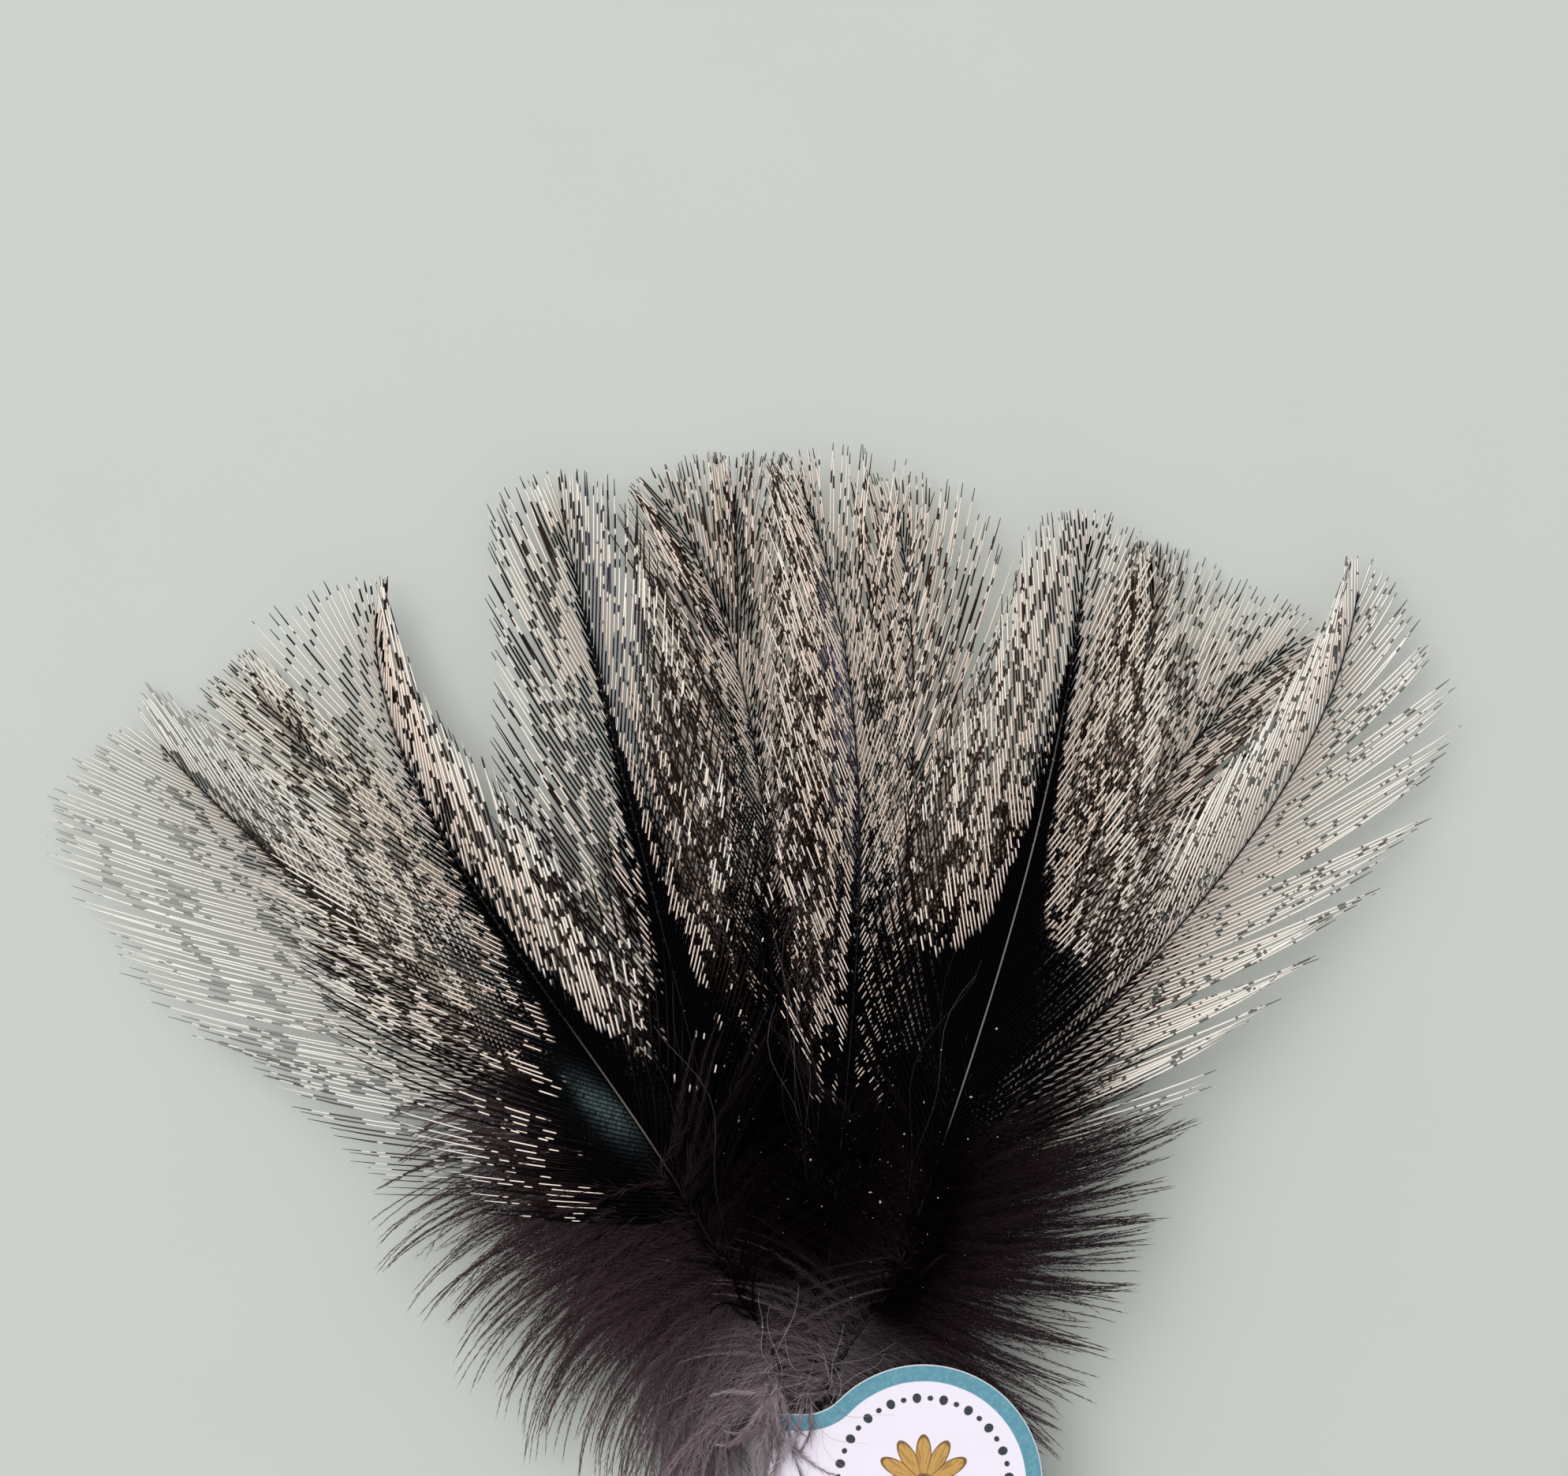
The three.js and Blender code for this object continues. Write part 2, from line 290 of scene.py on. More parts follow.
def raised(path, height):
    return np.concatenate([path, height[..., None]], -1)


class Feather:
    """Where one feather's shaft and barbs run, in millimetres from the tie."""

    def __init__(self, column, layer, low, high, tip, left, right):
        self.layer = layer
        self.sides = (left, right)
        start = np.array([(column - 1.5) * COLUMN_PITCH, 0])
        low, high, tip = np.array(low), np.array(high), np.array(tip)
        first = (-5 * start + 18 * low - 9 * high + 2 * tip) / 6
        second = (2 * start - 9 * low + 18 * high - 5 * tip) / 6
        self.handles = (start, first, second, tip)
        steps = np.diff(self.curve(np.linspace(0, 1, 201)), axis=0)
        self.reach = np.linalg.norm(steps, axis=1).sum()

    def curve(self, share):
        share = np.asarray(share)[..., None]
        weights = ((1 - share) ** 3, 3 * share * (1 - share) ** 2, 3 * share**2 * (1 - share), share**3)
        return sum(weight * handle for weight, handle in zip(weights, self.handles))

    def shaft(self, along):
        point = self.curve(np.clip(along, 0, self.reach) / self.reach)
        point[..., 0] = lerp(self.handles[0][0], point[..., 0], ease(along, EASE_START, EASE_END))
        point[..., 1] = np.where(along < 0, along, point[..., 1])
        return point

    def heading(self, along):
        """In degrees, clockwise from the way that the bunch points."""
        step = self.shaft(np.minimum(along + HEADING_STEP, self.reach)) - self.shaft(along - HEADING_STEP)
        return np.degrees(np.arctan2(step[..., 0], step[..., 1]))

    def barb_form(self, side, along):
        """Angle off the shaft, forward bend and length of the barbs that grow at these places."""
        base_length, full_length, base_angle, tip_angle, tip_slope = self.sides[side]
        down = np.clip((VANE_START - along) / (VANE_START - DOWN_START), 0, 1)
        outward = np.clip((along - VANE_START) / (self.reach - VANE_START), 0, 1)
        vane_angle = lerp(tip_angle, base_angle, (1 - outward) ** ANGLE_FALL)
        longest = lerp(base_length, full_length, ease(outward, 0, FULL_LENGTH))
        free = lerp(longest, DOWN_LENGTH, down)
        room = tip_slope * (self.reach - along) + TIP_MARGIN
        length = (free + room - np.hypot(free - room, TIP_ROUNDING)) / 2
        closing = lerp(TIP_CLOSED, 1, ease(self.reach - along, 0, TIP_CLOSING))
        return lerp(vane_angle, DOWN_ANGLE, down) * closing, lerp(VANE_BEND, DOWN_BEND, down), length

    def fan(self, side, along, turn, reach):
        """Places this far from the shaft, at these angles off it."""
        heading = np.radians(self.heading(along)[:, None] + turn * (-1, 1)[side])
        return self.shaft(along)[:, None] + reach[..., None] * way(heading)

    def barbs(self, side, along, shares, sway, stretch):
        """Centre lines of barbs, their angles off the shaft and their lengths. Sway turns them outwards."""
        angle, bend, length = self.barb_form(side, along)
        turn = angle[:, None] * (1 - bend[:, None] * shares / 2) + sway
        length = length * stretch
        return self.fan(side, along, turn, length[:, None] * shares), turn, length

    def lay(self, points):
        """Height of the feather's middle plane over these places."""
        share = np.clip((np.linalg.norm(points, axis=-1) - LAY_START) / (LAY_END - LAY_START), 0, 1)
        bunch = BUNCH_FLOOR + self.layer * BUNCH_PITCH
        tips = TIP_FLOOR + self.layer * TIP_PITCH
        return lerp(bunch, tips, share) + ARCH * np.sin(np.pi * share) ** 2


# Fibres: every barb, hair and shaft is a closed tube that tapers, and many are joined in one mesh.
BARB_PROFILE = np.array([(-1, 0), (0, 1), (1, 0)])
ROUND_PROFILE = np.array([(-math.cos(a), math.sin(a)) for a in np.arange(8) * math.pi / 4])
FIBRE_VALUES = ("number", "root", "along", "share", "across", "opened", "gloom", "sheen")
MAP_NAME = "OFBake"
RIDGE_SHIFT = 0.003  # keeps a fibre's end caps from lying on a line on the map
NO_LENGTH = 1e-9


def repeated(template, copies, corners):
    """The triangles of copies of one shape that has this many corners."""
    return (template + np.arange(copies)[:, None, None] * corners).reshape(-1, 3)


def sweep(centres, half_widths, heights, profile):
    """Closed tubes along centre lines: points as (fibres, rings, corners, 3), and triangles."""
    ahead = unit(np.gradient(centres, axis=1))
    aside = unit(beside(ahead), NO_LENGTH)
    up = np.cross(aside, ahead)
    across = profile[:, 0] * half_widths[..., None]
    rise = profile[:, 1] * heights[..., None]
    points = centres[:, :, None] + aside[:, :, None] * across[..., None] + up[:, :, None] * rise[..., None]

    fibres, rings, corners = points.shape[:3]
    corner = np.arange(corners)
    after = (corner + 1) % corners
    here = np.stack([corner, after, after + corners], -1)
    there = np.stack([corner, after + corners, corner + corners], -1)
    wall = np.concatenate([here, there])
    walls = repeated(wall, rings - 1, corners)
    fan = np.stack([np.zeros(corners - 2, int), corner[1:-1], corner[2:]], -1)
    tube = np.concatenate([walls, fan[:, ::-1], fan + (rings - 1) * corners])
    return points, repeated(tube, fibres, rings * corners)


class Fibres:
    """Gathers fibres and joins them in one mesh, with values at their points and one map."""

    def __init__(self):
        self.points = []
        self.triangles = []
        self.finishes = []
        self.places = []
        self.values = {name: [] for name in FIBRE_VALUES}
        self.count = 0

    def add(self, points, triangles, places, finish, values):
        shape = points.shape[:-1]
        self.points.append(points.reshape(-1, 3))
        self.triangles.append(triangles + self.count)
        self.finishes.append(np.full(len(triangles), finish))
        self.places.append(np.broadcast_to(places, shape + (2,)).reshape(-1, 2))
        for name in FIBRE_VALUES:
            self.values[name].append(np.broadcast_to(values.get(name, 0.0), shape).ravel())
        self.count += len(self.points[-1])

    def sweep(self, centres, half_widths, heights, profile, band, finish, values):
        """Adds tubes, each in a column of its own within a band of the map. A value is one for all,
        or one for each fibre, each of its rings, or each corner of a ring."""
        points, triangles = sweep(centres, half_widths, heights, profile)
        fibres, rings, corners = points.shape[:3]
        column = np.arange(fibres)[:, None, None]
        corner = np.arange(corners)
        u = (column + 0.1 + 0.8 * corner / (corners - 1)) / fibres + np.zeros((1, rings, 1))
        v = lerp(*band, np.linspace(0, 1, rings))[None, :, None] + RIDGE_SHIFT * (corner % 2)
        values = {name: np.reshape(value, (np.shape(value) + (1, 1))[:3]) for name, value in values.items()}
        self.add(points, triangles, np.stack(np.broadcast_arrays(u, v), -1), finish, values)

    def mesh(self, name, finishes):
        triangles = np.concatenate(self.triangles)
        piece = mesh_piece(name, (np.concatenate(self.points) + tie) * MM, triangles, *finishes)
        mesh = piece.data
        mesh.shade_smooth()
        mesh.polygons.foreach_set("material_index", np.concatenate(self.finishes))
        for key, values in self.values.items():
            mesh.attributes.new(key, "FLOAT", "POINT").data.foreach_set("value", np.concatenate(values))
        layer = mesh.uv_layers.new(name=MAP_NAME)
        layer.uv.foreach_set("vector", np.concatenate(self.places)[triangles].ravel())
        return piece


# Shafts: a round horn rod, pale where it is bare and dark brown to black between the barbs.
# Here and below, a table in curly brackets holds the usual value, if there is one, and those that differ: of
# a feather, by its number, or of one side of it, by its number and 0 for left or 1 for right.
SHAFT_BASE_RADIUS = 0.11
SHAFT_TIP_RADIUS = 0.08
SHAFT_RINGS = 60
SHAFT_BAND = (0.95, 0.99)
SHAFT_RISE = 0.1  # the shaft stands up from the feather's middle plane
HORN_PALE = (0.19, 0.16, 0.135, 1)
HORN_DARK = (0.006, 0.005, 0.005, 1)
HORN_QUILL = (0.62, 0.55, 0.45, 1)
PALE_STRETCH = {"usual": (0, 1), 1: (46, 70), 2: (40, 106), 3: (33, 44), 9: (36, 76)}  # part that shows pale


def shaft_finish(number):
    horn = Finish(f"shaft_horn_{number}")
    along = horn.value("along")
    start, end = picker(number)(PALE_STRETCH)
    grain = horn.grain(along * 0.6, horn.value("across") * 0.4, 0, 3)
    pale = (along.over(start + 3, 8) * (1 - along.over(end, 14)) * (0.6 + grain * 0.8)).held()
    coat = horn.mix(pale, HORN_DARK, HORN_PALE)
    horn.bump(grain, 0.00004)
    return horn.wear({
        "Base Color": horn.mix(along.over(5, 3), HORN_QUILL, coat),
        "Roughness": 0.45,
        "Specular IOR Level": 0.1,
        "Coat Weight": pale * 0.4,
        "Coat Roughness": 0.25,
    })


def add_shaft(fibres, feather):
    along = np.linspace(-QUILL_BELOW, feather.reach, SHAFT_RINGS)
    quill = QUILL_RADIUS * ease(along, -QUILL_BELOW - 0.7, -QUILL_BELOW + 2)
    taper = lerp(SHAFT_BASE_RADIUS, SHAFT_TIP_RADIUS, ease(along, DOWN_START, feather.reach) ** 0.7)
    radius = lerp(quill, taper, ease(along, EASE_START, DOWN_START + 6))
    path = feather.shaft(along)
    height = feather.lay(path) + SHAFT_RISE * ease(along, EASE_END, VANE_START)
    centre = raised(path, height)[None]
    values = {"along": along[None], "across": np.arange(8)[None, None]}
    fibres.sweep(centre, radius[None], radius[None], ROUND_PROFILE, SHAFT_BAND, 2, values)


# Vanes: stiff glossy barbs, hooked together into a closed black web beside the shaft and free further out,
# where each is barred in cream and blackish brown. Neighbours share their bars, which makes the speckles.
BARB_SPACING = {"usual": 0.4, 5: 0.34, 6: 0.34, 7: 0.34, 8: 0.34, 10: 0.36, 11: 0.36}  # across the barbs
BARB_PITCH_MOST = 1.5
VANE_FROM = {"usual": 31, 3: 27}
VANE_BANDS = ((0.0, 0.35), (0.35, 0.7))
BARB_SHARES = np.array([0, 0.04, 0.1, 0.18, 0.28, 0.4, 0.54, 0.7, 0.86, 1])
BARB_HALF_WIDTH = 0.085
BARB_OUTER_HALF_WIDTH = 0.125
BARB_TIP_HALF_WIDTH = 0.035
LOWEST_SCALE = 0.55  # width of the lowest barbs, as a share of the others' width
BARB_SCALE = {(3, 1): 1.35, (4, 0): 1.1, (12, 0): 1.1, (12, 1): 1.2}  # how much wider than usual
BARB_STRETCH = (0.95, 1.03)
LOWEST_STRETCH = 0.7
SHORT_TO = {"usual": 38, (1, 0): 50, (2, 0): 46}  # the barbs below this are shorter
BROKEN_SHARE = 0.05
BROKEN_STRETCH = (0.6, 0.9)
CROSSING = {"usual": 0.35, 4: 0.6, 5: 1.6, 6: 1.0, 7: 2.0, 8: 1.2}  # spread of the barbs' own directions
LOCK_BARBS = (5, 13)
LOCK_PULL = {"usual": 0.3, (12, 1): 2.2, (11, 1): 1.2, (3, 1): 0.7, (2, 0): 0.8}
LOCK_LIFT = 0.14
WEB_OVERLAP = 1.12
WEB_HEIGHT = 0.07
BARB_RISE = 0.05

# How far the web is closed: a strip beside the shaft, wider near the base, then a fringe where it thins out.
CLOSED_LEAST = {"usual": 0.4, 1: 2.0, 2: 0.1, 3: 1.6, 4: 2.2, 9: 3.2, 12: 0.1}
CLOSED_FROM = {"usual": 0, 1: 62}
CLOSED_FADE = 8
CLOSED_MOST = {
    "usual": 1.2, 1: 0.4, 2: 0.5, (3, 0): 7, (3, 1): 8, (4, 0): 4, (4, 1): 5, (9, 0): 15, (9, 1): 20,
    (12, 0): 0.4, (12, 1): 0.3,
}
CLOSED_FALL = {"usual": 11, 3: 8}
CLOSED_SHARE_MOST = 0.6
FRINGE_LEAST = 2.0
FRINGE_MOST = {
    "usual": 14, (1, 0): 3, (2, 0): 4, (3, 0): 18, (3, 1): 7, (4, 0): 10, (9, 0): 13, (9, 1): 6,
    (12, 0): 6, (12, 1): 3,
}
FRINGE_FALL = 18

# How much darker the barbs are near the base: all of them, about half of them, the tips of the lowest ones,
# and the lowest ones as a whole.
# On the middle feathers and feather 3's left side, deep in the bunch, this is partly painted shade.
GLOOM = {
    "usual": 0.03, (1, 0): 0.0, (2, 0): 0.02, (3, 0): 0.05, (3, 1): -0.02, (4, 0): 0.02, (4, 1): 0.05,
    (5, 0): 0.08, (5, 1): 0.1, 6: 0.1, (7, 0): 0.06, (7, 1): 0.05, (8, 0): 0.04, (8, 1): 0.02, (9, 0): 0.02,
    (12, 0): 0.05, (12, 1): -0.03,
}
GLOOM_FALL = 15
SPARSE = {"usual": 0, (1, 0): 0.03, (2, 0): 0.16, (3, 0): 0.12}
SPARSE_SHARE = 0.55
SPARSE_FALL = 24
DOWNY_GLOOM = {"usual": 0.15, (1, 0): 0.12, (2, 0): 0.2, (3, 0): 0.0, 12: 0.0}
DOWNY_FALL = 8
DOWNY_END = 38
BASE_GLOOM = {"usual": 0.12, (3, 0): -0.03}

# The bars: how often they change along a barb and from barb to barb, how much each barb has of its own and
# how much shorter those are, and how far cream outweighs them, at first and towards the tips of the barbs.
DASHES = {
    "usual": 0.58, 1: 0.46, 2: 0.5, 3: 0.42, 4: 0.42, 5: 0.5, 6: 0.5, 7: 0.5, 8: 0.5, 9: 0.52, 10: 0.5,
    12: 0.8,
}
BLOCK = {"usual": 0.17, 12: 0.26}
SINGLE = {"usual": 0.22, 1: 0.24, 3: 0.16, 4: 0.18, 12: 0.4}
SINGLE_DASHES = 1.6
PALENESS = {
    "usual": 0.0, 1: 0.055, 2: 0.045, 3: 0.02, 4: -0.02, 5: 0.005, 6: 0.01, 7: 0.025, 8: 0.03, 9: 0.01,
    12: 0.085,
}
OUTER_PALER = {"usual": 0.04, 12: -0.01}
BAR_DARK = (0.022, 0.0115, 0.0085, 1)
BAR_BROWN = (0.065, 0.037, 0.026, 1)
OUTER_BARS = {
    "usual": BAR_BROWN, 1: (0.38, 0.36, 0.33, 1), 3: (0.03, 0.02, 0.017, 1), 4: (0.03, 0.02, 0.017, 1),
    12: (0.13, 0.112, 0.1, 1),
}
OUTER_FROM = {  # share of a barb beyond which it is whitish and translucent
    "usual": 0.58, 1: 0.3, 5: 0.8, 6: 0.8, 7: 0.8, 8: 0.8, 9: 0.7, 10: 0.7, 11: 0.7, 12: 0.4,
}
INNER_CREAM = (0.8, 0.64, 0.54, 1)
CREAM = {"usual": (1.0, 0.8, 0.66, 1), 2: (0.94, 0.82, 0.63, 1)}
OUTER_CREAM = {"usual": (1.0, 0.94, 0.84, 1), 1: (0.97, 0.94, 0.87, 1)}
WEB_DARK = {"usual": (0.0014, 0.0013, 0.002, 1), 1: (0.05, 0.043, 0.037, 1)}
GLOSS = {"usual": 0.12, 7: 0.5, 12: 1.0}
SHINE = {"usual": 0.012, 12: 0.9}

# Where the vanes shine in colour, as painted sheen in their base colour with a gloss coat over it: the
# colours, then the places along the shaft and along the barbs, and how far they spread in each.
SHEEN_COLOURS = {3: (0.06, 0.088, 0.09, 1), 4: (0.05, 0.044, 0.08, 1), 7: (0.05, 0.046, 0.11, 1)}
SHEEN_SPOTS = {(3, 0): (39, 3, 3, 2), (4, 1): (84, 12, 12, 7), (7, 0): (76, 4, 10, 5)}


def vane_finish(number):
    pick = picker(number)
    vane = Finish(f"barred_barbs_{number}")
    seed = number * 17.3
    barb = vane.value("number").maths("ROUND") + seed
    along, share, opened, gloom = map(vane.value, ("along", "share", "opened", "gloom"))
    barbules = vane.grain(along * 5, barb * 3, seed, 2)
    sheen = (vane.value("sheen") * (barbules * 4.2 - 1.1)).held()
    own = vane.node("TexWhiteNoise", {"noise_dimensions": "1D"}, {"W": barb})
    shifted = along + (own - 0.5) * 1.6
    dashes = pick(DASHES)
    patches = vane.grain(barb * pick(BLOCK), shifted * dashes, seed, 1)
    single = vane.grain(barb * 2.3, along * dashes * SINGLE_DASHES, seed, 1)
    speckle = patches * (1 - pick(SINGLE)) + single * pick(SINGLE)
    outer = share.over(pick(OUTER_FROM), 0.6)
    dark_tip = share.over(0.94, 0.03) * (own - 0.3).held() * 0.6
    # Gloom gives more dark bars near the base and turns brown bars into black web: partly painted shade on
    # the middle feathers and feather 3's left side.
    dark_below = 0.5 - pick(PALENESS) - outer * pick(OUTER_PALER) + gloom + dark_tip
    light = speckle.over(dark_below, 0.02) * opened.over(0.2, 0.8)
    ridge = 1 - abs(vane.value("across")).over(0.78 + opened * 0.008, 0.25)
    tone = vane.grain(vane.value("root") * 0.15 + seed, along * 0.1, barb * 0.02, 2)
    inner = vane.mix(opened.over(4, 7), INNER_CREAM, pick(CREAM))
    cream = vane.mix(tone.over(0.7, 0.3), inner, OUTER_CREAM["usual"])
    cream = vane.mix(outer, cream, pick(OUTER_CREAM))
    bars = vane.mix(outer, vane.mix(tone.over(0.55, 0.3), BAR_DARK, BAR_BROWN), pick(OUTER_BARS))
    free = share.over(0.3, 0.3) * opened.over(3, 4) * (1 - gloom * 5).held()
    web = pick(WEB_DARK)
    sheen_colour = SHEEN_COLOURS.get(number, web)
    # Painted sheen: the sheen colour is painted over the web and the dark bars.
    ground = vane.mix(sheen, web, sheen_colour)
    dark = vane.mix(sheen, vane.mix(free, web, bars), sheen_colour)
    return vane.wear({
        "Base Color": vane.mix(ridge, ground, vane.mix(light, dark, cream)),
        "Roughness": 0.6,
        "Specular IOR Level": pick(SHINE),
        "Coat Weight": (light * ridge * pick(GLOSS) + sheen * 0.35).held(),
        "Coat Roughness": 0.3,
    })


def locks(count, sizes, rng):
    """The slices of neighbours that lie together in locks of these sizes."""
    start = 0
    while start < count:
        stop = start + rng.integers(*sizes)
        yield slice(start, stop)
        start = stop


def lock_sway(rng, barbs, pull):
    """How far each barb is turned towards the middle of its lock, and how far its lock is lifted."""
    draw = np.zeros(barbs)
    lift = np.zeros(barbs)
    for lock in locks(barbs, LOCK_BARBS, rng):
        place = np.linspace(-1, 1, lock.stop - lock.start)[: barbs - lock.start]
        draw[lock] = place * pull + rng.normal(0, pull * 0.5)
        lift[lock] = rng.normal(0, LOCK_LIFT)
    return draw, lift


def barb_roots(feather, side, lowest, spacing):
    """Places along the shaft that set barbs equally far apart, as measured across them."""
    fine = np.linspace(lowest, feather.reach - 0.4, 400)
    angle, _, _ = feather.barb_form(side, fine)
    pitch = np.minimum(spacing / np.sin(np.radians(angle)), BARB_PITCH_MOST)
    passed = np.concatenate([[0], np.cumsum(np.diff(fine) / pitch[1:])])
    return np.interp(np.arange(passed[-1]), passed, fine)


def add_vane(fibres, feather, number, side, rng):
    """One side of the vane. A barb's number is whole and differs from every other barb's."""
    pick = picker(number, side)
    spacing = pick(BARB_SPACING)
    lowest = pick(VANE_FROM)
    along = barb_roots(feather, side, lowest, spacing)
    past = np.maximum(along - VANE_START, 0)
    above = ease(along, lowest, DOWNY_END)
    count = len(along)
    draw, lift = lock_sway(rng, count, pick(LOCK_PULL))
    drift = np.convolve(rng.normal(0, 1, count + 24), np.hanning(25), "valid") / 3
    jitter = rng.normal(0, pick(CROSSING), count)
    sway = (draw + drift + jitter)[:, None] * BARB_SHARES
    stretch = rng.uniform(*BARB_STRETCH, count)
    broken = rng.random(count) < BROKEN_SHARE
    stretch = np.where(broken, rng.uniform(*BROKEN_STRETCH, count), stretch)
    stretch = stretch * lerp(LOWEST_STRETCH, 1, ease(along, lowest, pick(SHORT_TO)))
    path, turn, length = feather.barbs(side, along, BARB_SHARES, sway, stretch)
    strand = length[:, None] * BARB_SHARES

    closed = pick(CLOSED_LEAST) * (1 - past / (feather.reach - VANE_START))
    closed = closed * ease(along, pick(CLOSED_FROM), pick(CLOSED_FROM) + CLOSED_FADE)
    closed = closed + pick(CLOSED_MOST) * np.exp(-past / pick(CLOSED_FALL))
    closed = np.minimum(closed, CLOSED_SHARE_MOST * length)
    closed = closed * rng.normal(1, 0.04, count) + rng.normal(0, 0.08, count)
    fringe = FRINGE_LEAST + pick(FRINGE_MOST) * np.exp(-past / FRINGE_FALL)
    opened = strand - closed[:, None]
    gloom = pick(GLOOM) * np.exp(-past / GLOOM_FALL)
    sparse = pick(SPARSE) * (rng.random(count) < SPARSE_SHARE) * np.exp(-past / SPARSE_FALL)
    downy = pick(DOWNY_GLOOM) * np.exp(-past / DOWNY_FALL)
    gloom = (gloom + sparse)[:, None] + downy[:, None] * ease(BARB_SHARES, 0.2, 0.8)
    gloom = gloom + (pick(BASE_GLOOM) * (1 - above))[:, None]

    widest = lerp(BARB_HALF_WIDTH, BARB_OUTER_HALF_WIDTH, BARB_SHARES)
    widest = widest * BARB_SCALE.get((number, side), spacing / BARB_SPACING["usual"])
    rib = lerp(widest, BARB_TIP_HALF_WIDTH, BARB_SHARES**9) * lerp(LOWEST_SCALE, 1, above)[:, None]
    web = np.gradient(along)[:, None] * np.sin(np.radians(np.abs(turn))) / 2 * WEB_OVERLAP
    web = web * (1 - ease(opened, -0.5, fringe[:, None])) * ease(closed, -0.2, 0.8)[:, None]
    half_width = np.maximum(rib, web)
    wander = lift[:, None] * BARB_SHARES + rng.normal(0, 0.07, (count, 1)) * ease(opened, 0, 6)
    height = np.maximum(feather.lay(path) + wander, 0.05)
    # Where the painted sheen lies on this side.
    sheen = np.zeros(strand.shape)
    if (number, side) in SHEEN_SPOTS:
        root_place, barb_place, root_spread, barb_spread = SHEEN_SPOTS[number, side]
        root_part = ((along[:, None] - root_place) / root_spread) ** 2
        sheen = np.exp(-root_part - ((strand - barb_place) / barb_spread) ** 2)
    values = {
        "number": np.arange(count) + side * 400.0,
        "root": along + side * 150,
        "along": strand,
        "share": BARB_SHARES[None],
        "across": BARB_PROFILE[:, 0] * (half_width / rib)[..., None],
        "opened": opened,
        "gloom": gloom,
        "sheen": sheen,
    }
    rise = lerp(WEB_HEIGHT, BARB_RISE, ease(opened, 0, 6))
    fibres.sweep(raised(path, height), half_width, rise, BARB_PROFILE, VANE_BANDS[side], 0, values)


# Down: soft barbs at the base of each feather, each a limp plume of hair-fine barbules. It is black near its
# roots, partly as painted shade under the vane, browner towards its tips, partly as painted light through
# the thin ends, and pale grey round the quill, where short curls lie over the tie.
# A kind of plume has half its width at the root, its number of barbules, the length of the longest, and
# their angles off the plume at its root and at its tip.
LONG_PLUME = (0.05, 96, 2.8, (38, 9))
UNDER_PLUME = (0.05, 60, 2.8, (45, 28))
PLUME_TIP_HALF_WIDTH = 0.012
BARBULE_TIP_LENGTH = 0.5
BARBULE_HALF_WIDTH = 0.04
BARBULES_TO = 0.97  # share of a plume's length
DOWN_FROM = 7.5
DOWN_TO = {"usual": 35, 1: 44, 2: 42, 3: 32, 9: 33, 12: 34}
DOWN_PITCH = 0.54
DOWN_RINGS = 12
DOWN_BANDS = ((0.71, 0.79), (0.8, 0.88))
UPPER_FROM = 33  # from here on the strands are shorter and paler
UPPER_REACH = 0.6
SINK = {"usual": 0, (3, 0): 1.3}  # how far the upper strands lie under the lowest barbs of the vane
LOCK_STRANDS = (2, 6)
LOCK_HOLD = 0.55  # how far a lock's strands are drawn to its middle at their tips
CURL_SHARE = 0.25
CURL_WIDTH = (1.0, 3.0)
UNDERCOAT_REACH = (0.45, 0.88)
UNDERCOAT_JITTER = 7

# How closely the strands grow, the longest of them, degrees that the lowest and the highest are turned, that
# they bend and that they differ, strands in the undercoat, and how pale the lowest are.
DOWN_LOOK = {
    "usual": (0.65, 18, (0, 0), 6, 2.5, 0, 0.6),
    (1, 0): (1.3, 27, (10, 6), 16, 2.5, 150, 1.0),
    (2, 0): (1.1, 27, (10, 6), 18, 2.5, 120, 0.9),
    (3, 0): (1.6, 27, (10, 6), 16, 2.5, 150, 0.8),
    (4, 0): (1.2, 24, (8, 6), 18, 2.5, 90, 0.6),
    (5, 0): (0.65, 18, (0, 0), 20, 2.5, 0, 0.6),
    (7, 0): (0.65, 18, (0, 0), 6, 2.5, 30, 0.6),
    (9, 1): (1.7, 28, (-10, 0), -2, 1.5, 160, 0.6),
    (11, 1): (1.2, 26, (-12, 3), -3, 1.5, 110, 0.6),
    (12, 1): (1.5, 26, (-14, 4), -4, 1.5, 110, 0.6),
}
# On feathers 7 and 8, whose down lies in the middle gap, this darkening is partly painted shade.
DOWN_SHADE = {  # how much darker the down is
    "usual": 0.0, 7: 0.6, (7, 0): 0.5, 8: 0.6, (8, 0): 0.5, (9, 1): 0.6, (11, 1): 0.5, (12, 1): 0.5,
}

DOWN_BLACK = (0.0036, 0.0016, 0.0022, 1)
DOWN_BROWN = (0.14, 0.084, 0.093, 1)
DOWN_PALE = (0.56, 0.46, 0.49, 1)
# The down and the stray barbs in this gap get painted shade, darkest at its middle.
GAP_MIDDLE = (1.5, 33)  # the black gap in the middle of the bunch, where hardly any light comes
GAP_SPREAD = (15, 22)
CARD_UNDERSIDE = 11.1  # down that reaches under the label's disc stays below this
CARD_MIDDLE = (12.5, -2.1)
CARD_REACH = 13.2


def under_card(points):
    """The same points, kept below the label's disc where they lie within its outline."""
    within = np.linalg.norm(points[..., :2] - CARD_MIDDLE, axis=-1) < CARD_REACH
    held = points.copy()
    held[..., 2] = np.where(within, np.minimum(held[..., 2], CARD_UNDERSIDE), held[..., 2])
    return held


# Painted shade: how much darker the down and stray barbs are made in the middle gap, 1 at its middle.
def painted_gap_shade(points):
    off = (points[..., :2] - GAP_MIDDLE) / GAP_SPREAD
    return np.exp(-(off**2).sum(axis=-1) ** 2)


